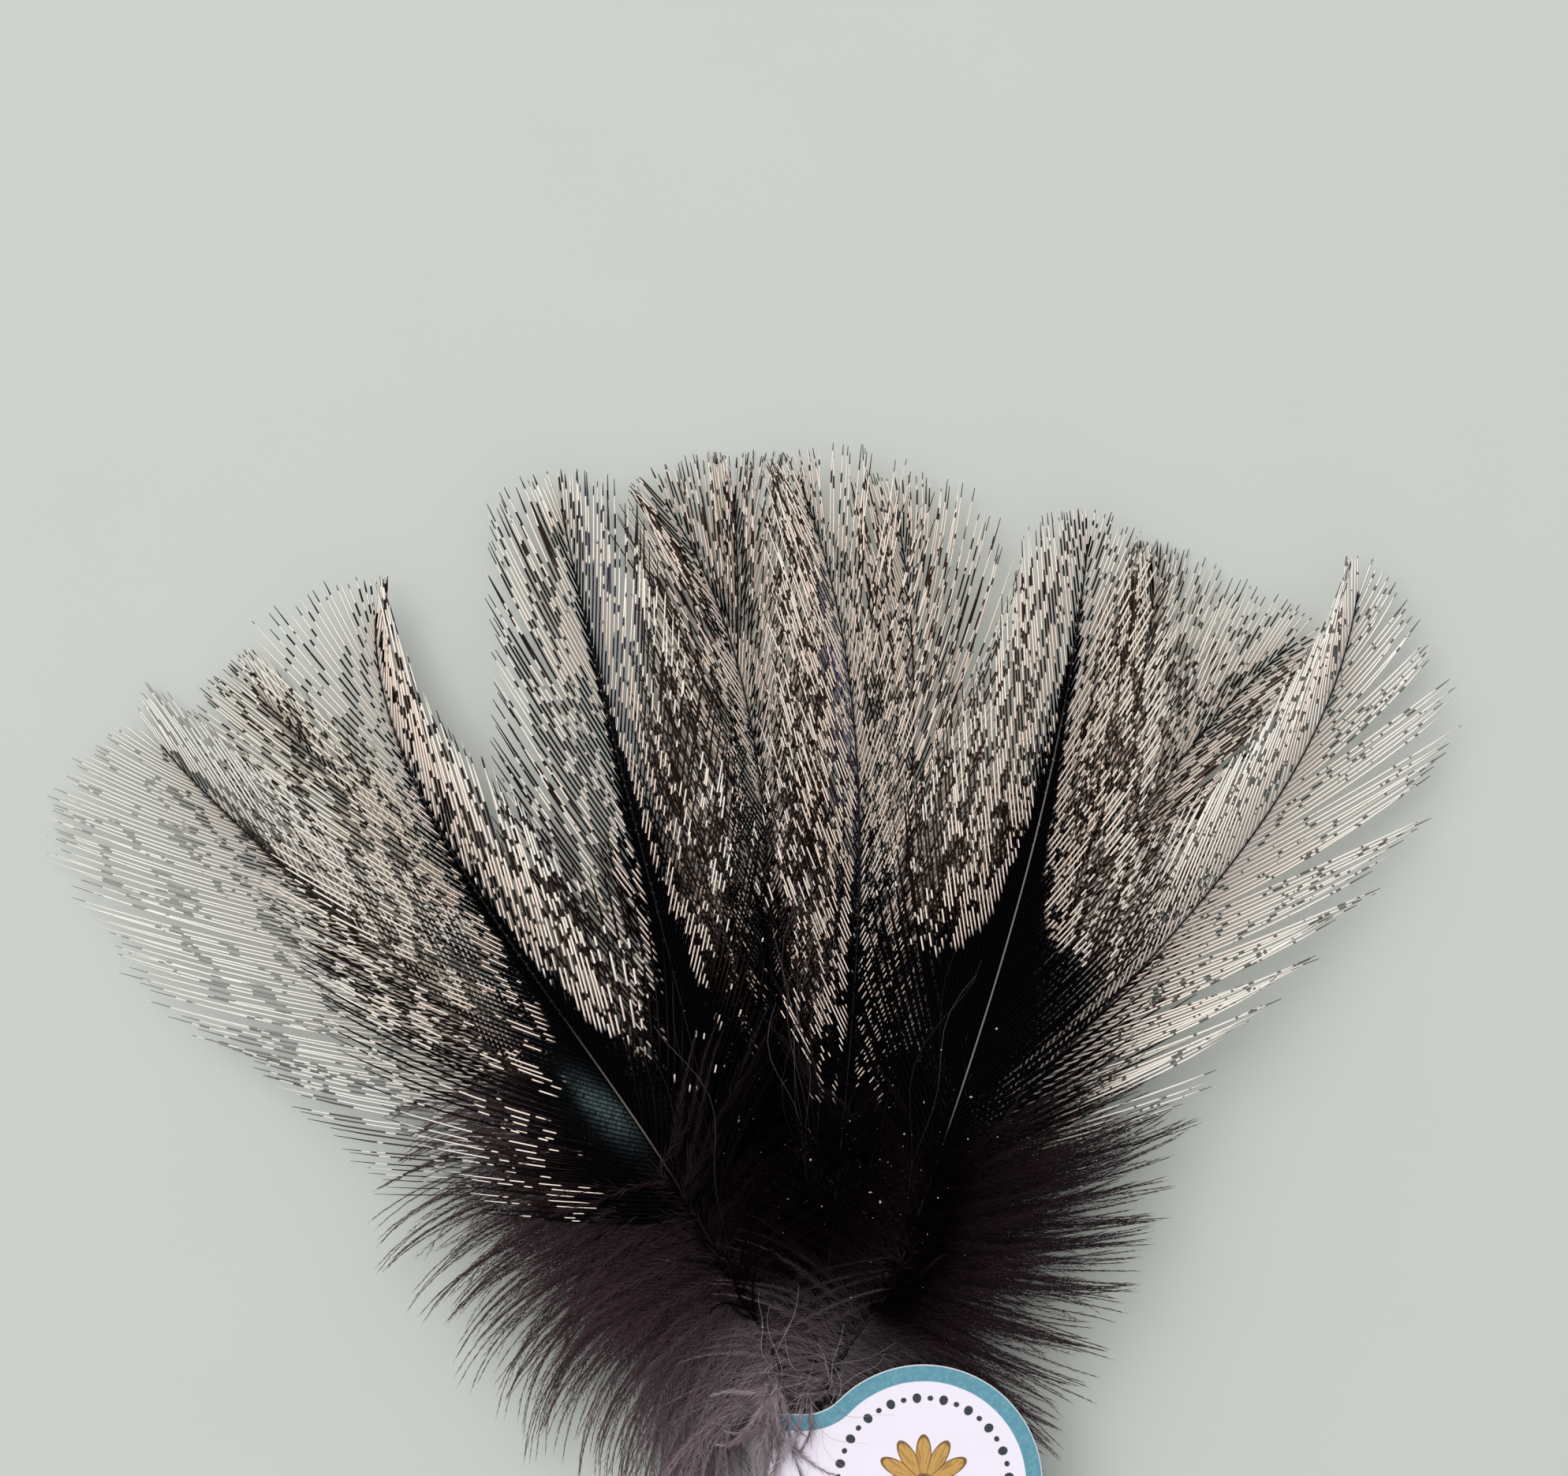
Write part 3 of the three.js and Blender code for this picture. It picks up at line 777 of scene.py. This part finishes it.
def down_finish():
    down = Finish("down")
    share = down.value("share")
    root = down.value("root")
    tone = down.grain(down.value("number") * 0.31, share * 2.5, root * 0.07, 3)
    low = 1 - root.over(17, 20)
    # Darkest at the roots and lighter towards the tips of strands and barbules: partly painted shade under
    # the vane and painted light through the thin ends.
    brown = share * 0.42 + 0.07 + low * 0.4 + (tone - 0.5) * 1.1 + down.value("across") * 0.5
    # Gloom darkens it more: the risers' and some sides' own darker tone, painted shade in the middle gap,
    # and partly painted shade on feathers 7 and 8.
    brown = (brown * (1 - down.value("gloom"))).held()
    return down.wear({
        "Base Color": down.mix(down.value("opened"), down.mix(brown, DOWN_BLACK, DOWN_BROWN), DOWN_PALE),
        "Roughness": 0.8,
        "Specular IOR Level": 0.02,
    })


def spikes(centres, aims, half_width):
    """Closed three-sided spikes from each centre along its aim: points as (spikes, 4, 3), and triangles."""
    ahead = unit(aims)
    aside = unit(np.cross(ahead, (0.0, 0.0, 1.0)), NO_LENGTH)
    up = np.cross(aside, ahead)
    foot = [centres - aside * half_width, centres + up * half_width, centres + aside * half_width]
    points = np.stack(foot + [centres + aims], -2)
    spike = np.array([(2, 1, 0), (0, 1, 3), (1, 2, 3), (2, 0, 3)])
    return points, repeated(spike, len(centres), 4)


def add_plumes(fibres, paths, kind, band, values, rng, low=True):
    """Limp barbs along these paths, with barbules that grow shorter and lie closer towards the tip."""
    stem, barbules, longest, spreads = kind
    count, rings = paths.shape[:2]
    shares = np.linspace(0, 1, rings)
    half_width = lerp(stem, PLUME_TIP_HALF_WIDTH, shares)
    # The strands, and below them their barbules, get painted shade in the middle gap.
    gloom = values["gloom"][:, None] + painted_gap_shade(paths)
    stem_values = values | {"share": shares[None], "gloom": gloom}
    fibres.sweep(paths, half_width, half_width, BARB_PROFILE, band, 1, stem_values)

    shape = (count, barbules)
    place = (np.arange(barbules) + rng.uniform(0, 1, shape)) / barbules * BARBULES_TO
    step = place * (rings - 1)
    index = np.minimum(step.astype(int), rings - 2)
    rows = np.arange(count)[:, None]
    start, stop = paths[rows, index], paths[rows, index + 1]
    centre = lerp(start, stop, (step - index)[..., None])
    ahead = unit(stop - start)
    spread = np.radians(lerp(*spreads, place) * rng.uniform(0.35, 1, shape))
    spread = spread * np.where(np.arange(barbules) % 2, 1, -1)
    length = lerp(longest, BARBULE_TIP_LENGTH, place) * rng.uniform(0.5, 1.25, shape)
    aim = ahead * np.cos(spread)[..., None] + beside(ahead) * np.sin(spread)[..., None]
    aim[..., 2] += rng.normal(0, 0.3, shape)
    aim *= length[..., None]
    aim[..., 2] = np.maximum(aim[..., 2], 0.06 - centre[..., 2])
    points, triangles = spikes(centre.reshape(-1, 3), aim.reshape(-1, 3), BARBULE_HALF_WIDTH)
    if low:
        points = under_card(points)
    foot = np.array([0, 0, 0, 1.0])
    u = ((rows + np.zeros(shape)).ravel()[:, None] + 0.1 + 0.8 * foot) / count
    v = lerp(*band, place.ravel()[:, None]) + RIDGE_SHIFT * np.array([-0.5, 0, 0.5, 0])
    tuft = {name: np.repeat(value, barbules)[:, None] for name, value in values.items()}
    # The barbules too get painted shade in the middle gap.
    tuft |= {"share": place.ravel()[:, None], "across": foot, "gloom": tuft["gloom"] + painted_gap_shade(points)}
    fibres.add(points, triangles, np.stack([u, v], -1), 1, tuft)


def lock_paths(paths, rng):
    """Draws neighbouring strands together, so that they end in shared points."""
    drawn = paths.copy()
    shares = np.linspace(0, 1, paths.shape[1])
    hold = LOCK_HOLD * ease(shares, 0.15, 0.95)[:, None]
    for lock in locks(len(paths), LOCK_STRANDS, rng):
        drawn[lock] = lerp(paths[lock], paths[lock].mean(axis=0), hold)
    return drawn


def add_down(fibres, feather, number, side, rng):
    """On one side, long strands in locks and perhaps a fluffy undercoat of shorter ones."""
    shares = np.linspace(0, 1, DOWN_RINGS)
    pick = picker(number, side)
    crowd, longest, lean, bend, spread, undercoat, pale_low = pick(DOWN_LOOK)
    top = pick(DOWN_TO)
    strands = round((top - DOWN_FROM) / DOWN_PITCH * crowd)
    count = strands + undercoat
    along = np.concatenate([np.linspace(DOWN_FROM, top, part) for part in (strands, undercoat)])
    up_share = (along - DOWN_FROM) / (top - DOWN_FROM)
    under = np.arange(count) >= strands
    jitter = np.where(under, UNDERCOAT_JITTER, spread)
    drift = np.convolve(rng.normal(0, 4, count + 8), np.hanning(9), "valid") / 2
    droop = bend * rng.uniform(0.8, 1.2, count)
    sway = (drift + rng.normal(0, 1, count) * jitter)[:, None] * shares + droop[:, None] * shares**2
    sway = sway + lerp(*lean, up_share)[:, None]
    free = feather.barb_form(side, along)[2]
    upper = ease(along, UPPER_FROM, UPPER_FROM + 8)
    reach = np.where(under, rng.uniform(*UNDERCOAT_REACH, count), rng.uniform(0.84, 1.04, count))
    reach = reach * np.minimum(1, longest / free) * lerp(1, UPPER_REACH, upper)
    path, _, _ = feather.barbs(side, along, shares, sway, reach)

    curl = rng.uniform(*CURL_WIDTH, count) * (rng.random(count) < CURL_SHARE)
    back = curl[:, None] * np.sin(np.pi * np.minimum(shares / 0.36, 1))
    heading = np.radians(feather.heading(along))
    across = np.stack([np.cos(heading), -np.sin(heading)], -1) * (-1, 1)[side]
    path = path - across[:, None] * back[..., None]
    puff = rng.normal(0, 0.9, (count, 1)) * ease(shares, 0, 0.6)
    puff = puff + curl[:, None] * 0.45 * np.sin(np.pi * np.minimum(shares / 0.55, 1))
    sunk = pick(SINK) * ease(along, 20, 30)
    height = np.maximum(feather.lay(path) + puff - sunk[:, None], 0.15)
    paths = under_card(raised(path, height))
    paleness = np.clip(pale_low - (along - DOWN_FROM) / 15, 0, 1) + 0.2 * upper
    values = {
        "number": np.arange(count) + side * 200.0,
        "root": along,
        "opened": paleness * rng.uniform(0.5, 1, count),
        "gloom": np.full(count, pick(DOWN_SHADE)),
    }
    low, high = DOWN_BANDS[side]
    middle = (low + high) / 2
    paths[:strands] = lock_paths(paths[:strands], rng)
    long = (LONG_PLUME, 0, strands, (low, middle))
    short = (UNDER_PLUME, strands, count, (middle, high))
    for kind, start, stop, band in (long, short):
        if stop > start:
            part = {name: value[start:stop] for name, value in values.items()}
            add_plumes(fibres, paths[start:stop], kind, band, part, rng)


# Wisps: pale tufts of down and hair-fine curls at the top of the uppermost quills, and brown tufts that rise
# out of the down. Each feather's own are given by their number and the way they point, in degrees.
TUFTS = {3: (14, -150), 4: (8, -145), 7: (4, -150)}
RISERS = {3: (10, -5), 9: (3, 45)}
HAIRS = {3: (14, -100), 7: (16, -160), 9: (10, 60)}
TOPS = (12.2, 13.6)
# Their first number, roots on the shaft, lengths, spread of directions, mean and spread of bends, rings and
# heights.
TUFT_FORM = (500, (4.5, 11), (6, 13), 22, (-10, 40), 12, TOPS)
RISER_FORM = (550, (15, 22), (6, 12), 22, (0, 55), 12, (0.8, 2.4))
HAIR_FORM = (600, (5, 12), (4, 11), 55, (0, 70), 18, TOPS)
TUFT_PLUME = (0.024, 90, 2.8, (38, 16))
RISER_PLUME = (0.024, 90, 1.5, (38, 16))
RISER_SHADE = 0.8
HAIR_HALF_WIDTH = 0.024
TUFT_BAND = (0.89, 0.92)
RISER_BAND = (0.882, 0.888)
HAIR_BAND = (0.925, 0.94)


def wisps(feather, lot, form, rng, from_feather=False):
    """Centre lines and values of wisps, which rise from the shaft to their heights and bend as they go."""
    count, middle = lot
    first, roots, lengths, spread, bends, rings, tops = form
    along = rng.uniform(*roots, count)
    aim = rng.normal(middle, spread, count)
    length = rng.uniform(*lengths, count)
    top = rng.uniform(*tops, count)
    if from_feather:
        top = feather.lay(feather.shaft(along)) + top
    bend = rng.normal(*bends, count)
    shares = np.linspace(0, 1, rings)
    wave = rng.uniform(4, 24, (count, 1)) * np.sin(shares * rng.uniform(5, 11, (count, 1)) + along[:, None])
    heading = np.radians(aim[:, None] + bend[:, None] * shares + wave)
    step = length[:, None, None] / (rings - 1) * way(heading)
    root = feather.shaft(along)[:, None]
    path = np.concatenate([root, root + np.cumsum(step[:, 1:], 1)], 1)
    root_height = feather.lay(path[:, 0])[:, None]
    top = np.maximum(top[:, None], root_height + 0.3)
    height = lerp(root_height, top, ease(shares, 0, 0.3)) + 0.3 * np.sin(shares * 9 + along[:, None])
    values = {"number": first + np.arange(count, dtype=float), "root": along, "gloom": np.zeros(count)}
    return raised(path, height), values


def add_wisps(fibres, feather, number, rng):
    if number in TUFTS:
        paths, values = wisps(feather, TUFTS[number], TUFT_FORM, rng)
        values["opened"] = rng.uniform(0.35, 0.9, len(paths))
        add_plumes(fibres, paths, TUFT_PLUME, TUFT_BAND, values, rng, low=False)
    if number in RISERS:
        paths, values = wisps(feather, RISERS[number], RISER_FORM, rng, from_feather=True)
        values["gloom"] = rng.uniform(0.5, 1, len(paths)) * RISER_SHADE
        add_plumes(fibres, paths, RISER_PLUME, RISER_BAND, values, rng)
    if number in HAIRS:
        paths, values = wisps(feather, HAIRS[number], HAIR_FORM, rng)
        shares = np.linspace(0, 1, paths.shape[1])
        half_width = lerp(HAIR_HALF_WIDTH, HAIR_HALF_WIDTH / 3, shares)
        values |= {"share": shares[None], "opened": rng.uniform(0.4, 1.5, len(paths))}
        fibres.sweep(paths, half_width, half_width, BARB_PROFILE, HAIR_BAND, 1, values)


# Stray barbs: long, hair-like and with no web, they stand up out of the base of the middle feathers.
STRAYS = {3: (0, 5), 5: (4, 5), 7: (14, 9), 8: (9, 8), 9: (3, 0)}  # on the left and right side
STRAY_RINGS = 14
STRAY_ROOTS = (20, 38)
STRAY_ANGLE = 13
STRAY_LENGTH = (22, 36)
STRAY_HALF_WIDTH = 0.024
STRAY_BAND = (0.945, 0.949)
STRAY_COLOUR = 0.35


def add_strays(fibres, feather, side, count, rng):
    shares = np.linspace(0, 1, STRAY_RINGS)
    along = rng.uniform(*STRAY_ROOTS, count)
    angle = rng.normal(STRAY_ANGLE, 5, (count, 1)) + rng.normal(20, 8, (count, 1)) * (1 - shares) ** 2
    wave = rng.uniform(1, 5, (count, 1)) * np.sin(shares * 8 + rng.uniform(0, 6, (count, 1)))
    path = feather.fan(side, along, angle + wave, rng.uniform(*STRAY_LENGTH, (count, 1)) * shares)
    lift = rng.uniform(0.2, 1.4, (count, 1)) * np.sin(shares * np.pi * 0.8)
    paths = raised(path, feather.lay(path) + lift)
    half_width = STRAY_HALF_WIDTH * (1 - 0.7 * shares)
    values = {
        "number": np.arange(count) + 700.0 + side * 50,
        "root": along,
        "share": STRAY_COLOUR,
        "opened": rng.uniform(0, 0.9, count)[:, None] * shares**2,
        # dark as they are, plus painted shade in the middle gap
        "gloom": 0.5 + painted_gap_shade(paths) * 0.45,
    }
    fibres.sweep(paths, half_width, half_width, BARB_PROFILE, STRAY_BAND, 1, values)


surface = []
down_look = down_finish()
for number, lie in enumerate(FEATHERS, 1):
    feather = Feather(*lie)
    fibres = Fibres()
    rng = np.random.default_rng(number)
    for side in (0, 1):
        add_vane(fibres, feather, number, side, rng)
    for side in (0, 1):
        add_down(fibres, feather, number, side, rng)
    add_wisps(fibres, feather, number, rng)
    for side, count in enumerate(STRAYS.get(number, ())):
        add_strays(fibres, feather, side, count, rng)
    add_shaft(fibres, feather)
    surface.extend(fibres.points)
    plume = fibres.mesh(f"plume_{number}", [vane_finish(number), down_look, shaft_finish(number)])
    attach(plume, "root")
    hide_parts(f"feather_{number}")

# Label
# One strip of white card, folded in a loop round the quills, with its two round ends glued back to back.
# It is printed with a teal border, a ring of dots and a plain rosette in gold.
CARD = 0.35
LOOP_HALF_WIDTH = 3.8
LOOP_TOP = 12
LOOP_CORNER = 1.2
LOOP_DROP = 0.1  # the loop's top lies this far below the face of the disc that laps over it
NECK_HALF_WIDTH = 7.3
DISC_RADIUS = 12.5
DISC_X = 12.5
LABEL_Y = -2.1
NECK_FILLET = 5
FILLET_Y = NECK_HALF_WIDTH + NECK_FILLET
FILLET_X = DISC_X - math.sqrt((DISC_RADIUS + NECK_FILLET) ** 2 - FILLET_Y**2)
CARD_BEVEL = 0.07
BORDER_WIDTH = 1.75
DOTS = 40
DOT_RING = 9.0
DOT_RADIUS = 0.4
ROSETTE_RADIUS = 5.2
PETALS = 12
CARD_WHITE = (0.93, 0.86, 0.97, 1)
CARD_EDGE = (0.8, 0.76, 0.8, 1)
TEAL = (0.1, 0.29, 0.37, 1)
TEAL_WORN = (0.15, 0.36, 0.44, 1)
INK = (0.03, 0.035, 0.045, 1)
GOLD = (0.6, 0.34, 0.09, 1)
GOLD_DEEP = (0.2, 0.1, 0.03, 1)


def card_finish():
    card = Finish("printed_card")
    place = card.place()
    x, y = (card.node("SeparateXYZ", {}, {"Vector": place}, axis) / MM for axis in "XY")
    x, y = x - tie[0], abs(y - (tie[1] + LABEL_Y))

    def distance(off_x, off_y):
        return (off_x * off_x + off_y * off_y).maths("SQRT")

    from_middle = distance(x - DISC_X, y)
    off_x, off_y = x - FILLET_X, y - FILLET_Y
    beside_fillet = (off_x * FILLET_Y + off_y * (DISC_X - FILLET_X)).maths("GREATER_THAN", 0)
    round_part = distance(off_x, off_y) - NECK_FILLET
    round_part = round_part + beside_fillet * (DISC_RADIUS - from_middle - round_part)
    neck_part = NECK_HALF_WIDTH - y
    inwards = neck_part + x.maths("GREATER_THAN", FILLET_X) * (round_part - neck_part)
    grain = card.noise(place, 2200, 3)
    blotches = card.noise(place, 260, 2)
    border = inwards.over(0.1, 0.05) * (1 - inwards.over(BORDER_WIDTH + (blotches - 0.5) * 0.1, 0.09))

    turn = y.maths("ARCTAN2", x - DISC_X)
    dot_turn = turn * (DOTS / (2 * math.pi))
    off_dot = (dot_turn.maths("FRACT") - 0.5) * (2 * math.pi * DOT_RING / DOTS)
    from_dot = distance(off_dot, from_middle - DOT_RING)
    dot_size = (dot_turn * math.pi).maths("SINE") * 0.12 + DOT_RADIUS
    dots = 1 - from_dot.over(dot_size, 0.07)
    petal = abs((turn * (PETALS / 2)).maths("COSINE"))
    petal_reach = from_middle / ROSETTE_RADIUS - (0.62 + petal * 0.38)
    rosette = 1 - petal_reach.over(0, 0.02)
    veins = card.grain(turn * 14, from_middle * 0.5, 0, 3)
    heart = 1 - from_middle.over(1.1, 0.06)
    line = petal_reach.over(-0.07, 0.03) + (1 - petal.over(0.14, 0.12)) + heart
    gold = card.mix((line.held() + veins.over(0.56, 0.1) * 0.5).held(), GOLD, GOLD_DEEP)

    white = card.mix(inwards.over(0.06, 0.06), CARD_EDGE, card.mix(blotches * 0.35, CARD_WHITE, CARD_EDGE))
    teal = card.mix(grain.over(0.55, 0.3), TEAL, TEAL_WORN)
    printed = card.mix(border, white, teal)
    printed = card.mix(dots, printed, INK)
    card.bump(grain * 0.6 + blotches, 0.00003)
    return card.wear({
        "Base Color": card.mix(rosette, printed, gold),
        "Roughness": 0.42 + grain * 0.12,
        "Specular IOR Level": 0.35,
    })


def arc(x, y, radius, start, end, steps):
    angle = np.linspace(start, end, steps)
    return np.stack([x + radius * np.cos(angle), y + radius * np.sin(angle)], -1)


def loft(rings, wrap=False):
    """Rings of corners, joined by four-sided faces. With wrap the last ring joins the first."""
    count, corners = rings.shape[:2]
    faces = []
    for ring in range(count if wrap else count - 1):
        low, high = ring * corners, (ring + 1) % count * corners
        for corner in range(corners):
            after = (corner + 1) % corners
            faces.append((low + corner, low + after, high + after, high + corner))
    return rings.reshape(-1, 3) + (0, LABEL_Y, 0), faces


def disc_and_neck():
    """Two layers of card, glued face to face, with a fine groove between them."""
    meeting = math.atan2(FILLET_Y, FILLET_X - DISC_X)
    left = LOOP_CORNER - LOOP_HALF_WIDTH
    outline = np.concatenate([
        [(left, NECK_HALF_WIDTH), (left, -NECK_HALF_WIDTH)],
        arc(FILLET_X, -FILLET_Y, NECK_FILLET, math.pi / 2, math.pi - meeting, 14)[:-1],
        arc(DISC_X, 0, DISC_RADIUS, -meeting, meeting, 110)[:-1],
        arc(FILLET_X, FILLET_Y, NECK_FILLET, meeting - math.pi, -math.pi / 2, 14),
    ])
    edge = unit(np.roll(outline, -1, 0) - outline)
    tangent = unit(edge + np.roll(edge, 1, 0))
    inwards = np.stack([-tangent[:, 1], tangent[:, 0]], -1)
    bottom, seam, top = LOOP_TOP - 2 * CARD, LOOP_TOP - CARD, LOOP_TOP
    profile = [
        (CARD_BEVEL, bottom), (0, bottom + CARD_BEVEL), (0, seam - 0.03), (0.05, seam), (0, seam + 0.03),
        (0, top - CARD_BEVEL), (CARD_BEVEL, top),
    ]
    inset, height = np.array(profile).T[..., None]
    points, faces = loft(raised(outline + inwards * inset[..., None], height + np.zeros(len(outline))))
    faces.append(tuple(reversed(range(len(outline)))))
    faces.append(tuple(range(len(points) - len(outline), len(points))))
    return points, faces


def loop_band():
    """The strip of card round the quills: a flat bevelled section, carried round the loop."""
    radius = LOOP_CORNER - CARD / 2
    side, low, high = LOOP_HALF_WIDTH - LOOP_CORNER, LOOP_CORNER, LOOP_TOP - LOOP_DROP - LOOP_CORNER
    turns = [(side, low, -0.5), (side, high, 0), (-side, high, 0.5), (-side, low, 1)]
    middle = np.concatenate([
        arc(x, z, radius, start * math.pi, (start + 0.5) * math.pi, 9) for x, z, start in turns
    ])
    heading = unit(np.roll(middle, -1, 0) - np.roll(middle, 1, 0))
    outward = np.stack([heading[:, 1], -heading[:, 0]], -1)
    thick, wide, bevel = CARD / 2, NECK_HALF_WIDTH, CARD_BEVEL
    section = [
        (thick - bevel, -wide), (thick, bevel - wide), (thick, wide - bevel), (thick - bevel, wide),
        (bevel - thick, wide), (-thick, wide - bevel), (-thick, bevel - wide), (bevel - thick, -wide),
    ]
    out, along = np.array(section).T
    x, z = (middle + outward * out[:, None, None]).T
    points, faces = loft(np.stack([x, along + np.zeros(x.shape), z], -1), wrap=True)
    return points, [tuple(reversed(face)) for face in faces]


card_points, card_faces = disc_and_neck()
band_points, band_faces = loop_band()
card_faces += [tuple(corner + len(card_points) for corner in face) for face in band_faces]
card_points = np.concatenate([card_points, band_points]) + tie
card = mesh_piece("card_label", card_points * MM, card_faces, card_finish())
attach(card, "root")
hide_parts("label")

# Dust
# White specks of dust and husk that cling to the dark parts, each resting on the topmost barb below it.
SPECKS = 110
SPECK_MIDDLE = (7, 32)
SPECK_SPREAD = (11, 9)
SPECK_SIZE = (0.025, 0.14)
SPECK_RARITY = 5
PERCH_REACH = 0.4
DUST_WHITE = (0.5, 0.48, 0.46, 1)


def dust_finish():
    dust = Finish("dust")
    tone = dust.noise(dust.place(), 3000)
    return dust.wear({"Base Color": dust.mix(tone, DUST_WHITE, DOWN_PALE), "Roughness": 0.9})


def speck_shapes():
    rng = np.random.default_rng(99)
    below = np.concatenate(surface)
    corners = np.array([(1, 0, 0), (-1, 0, 0), (0, 1, 0), (0, -1, 0), (0, 0, 1), (0, 0, -1)])
    faces = [(0, 2, 4), (2, 1, 4), (1, 3, 4), (3, 0, 4), (2, 0, 5), (1, 2, 5), (3, 1, 5), (0, 3, 5)]
    points = []
    all_faces = []
    for place in rng.normal(SPECK_MIDDLE, SPECK_SPREAD, (SPECKS, 2)):
        near = np.abs(below[:, :2] - place).max(axis=1) < PERCH_REACH
        if not near.any():
            continue
        perch = below[near][below[near][:, 2].argmax()]
        size = lerp(*SPECK_SIZE, rng.random() ** SPECK_RARITY) * rng.uniform(0.5, 1.8, 3) * (1, 1, 0.5)
        start = len(points)
        points.extend(perch + (0, 0, size[2] * 0.7) + corners * size * rng.uniform(0.7, 1.3, (6, 1)))
        all_faces.extend(tuple(start + corner for corner in face) for face in faces)
    return (np.array(points) + tie) * MM, all_faces


specks = mesh_piece("dust_specks", *speck_shapes(), dust_finish())
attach(specks, "root")
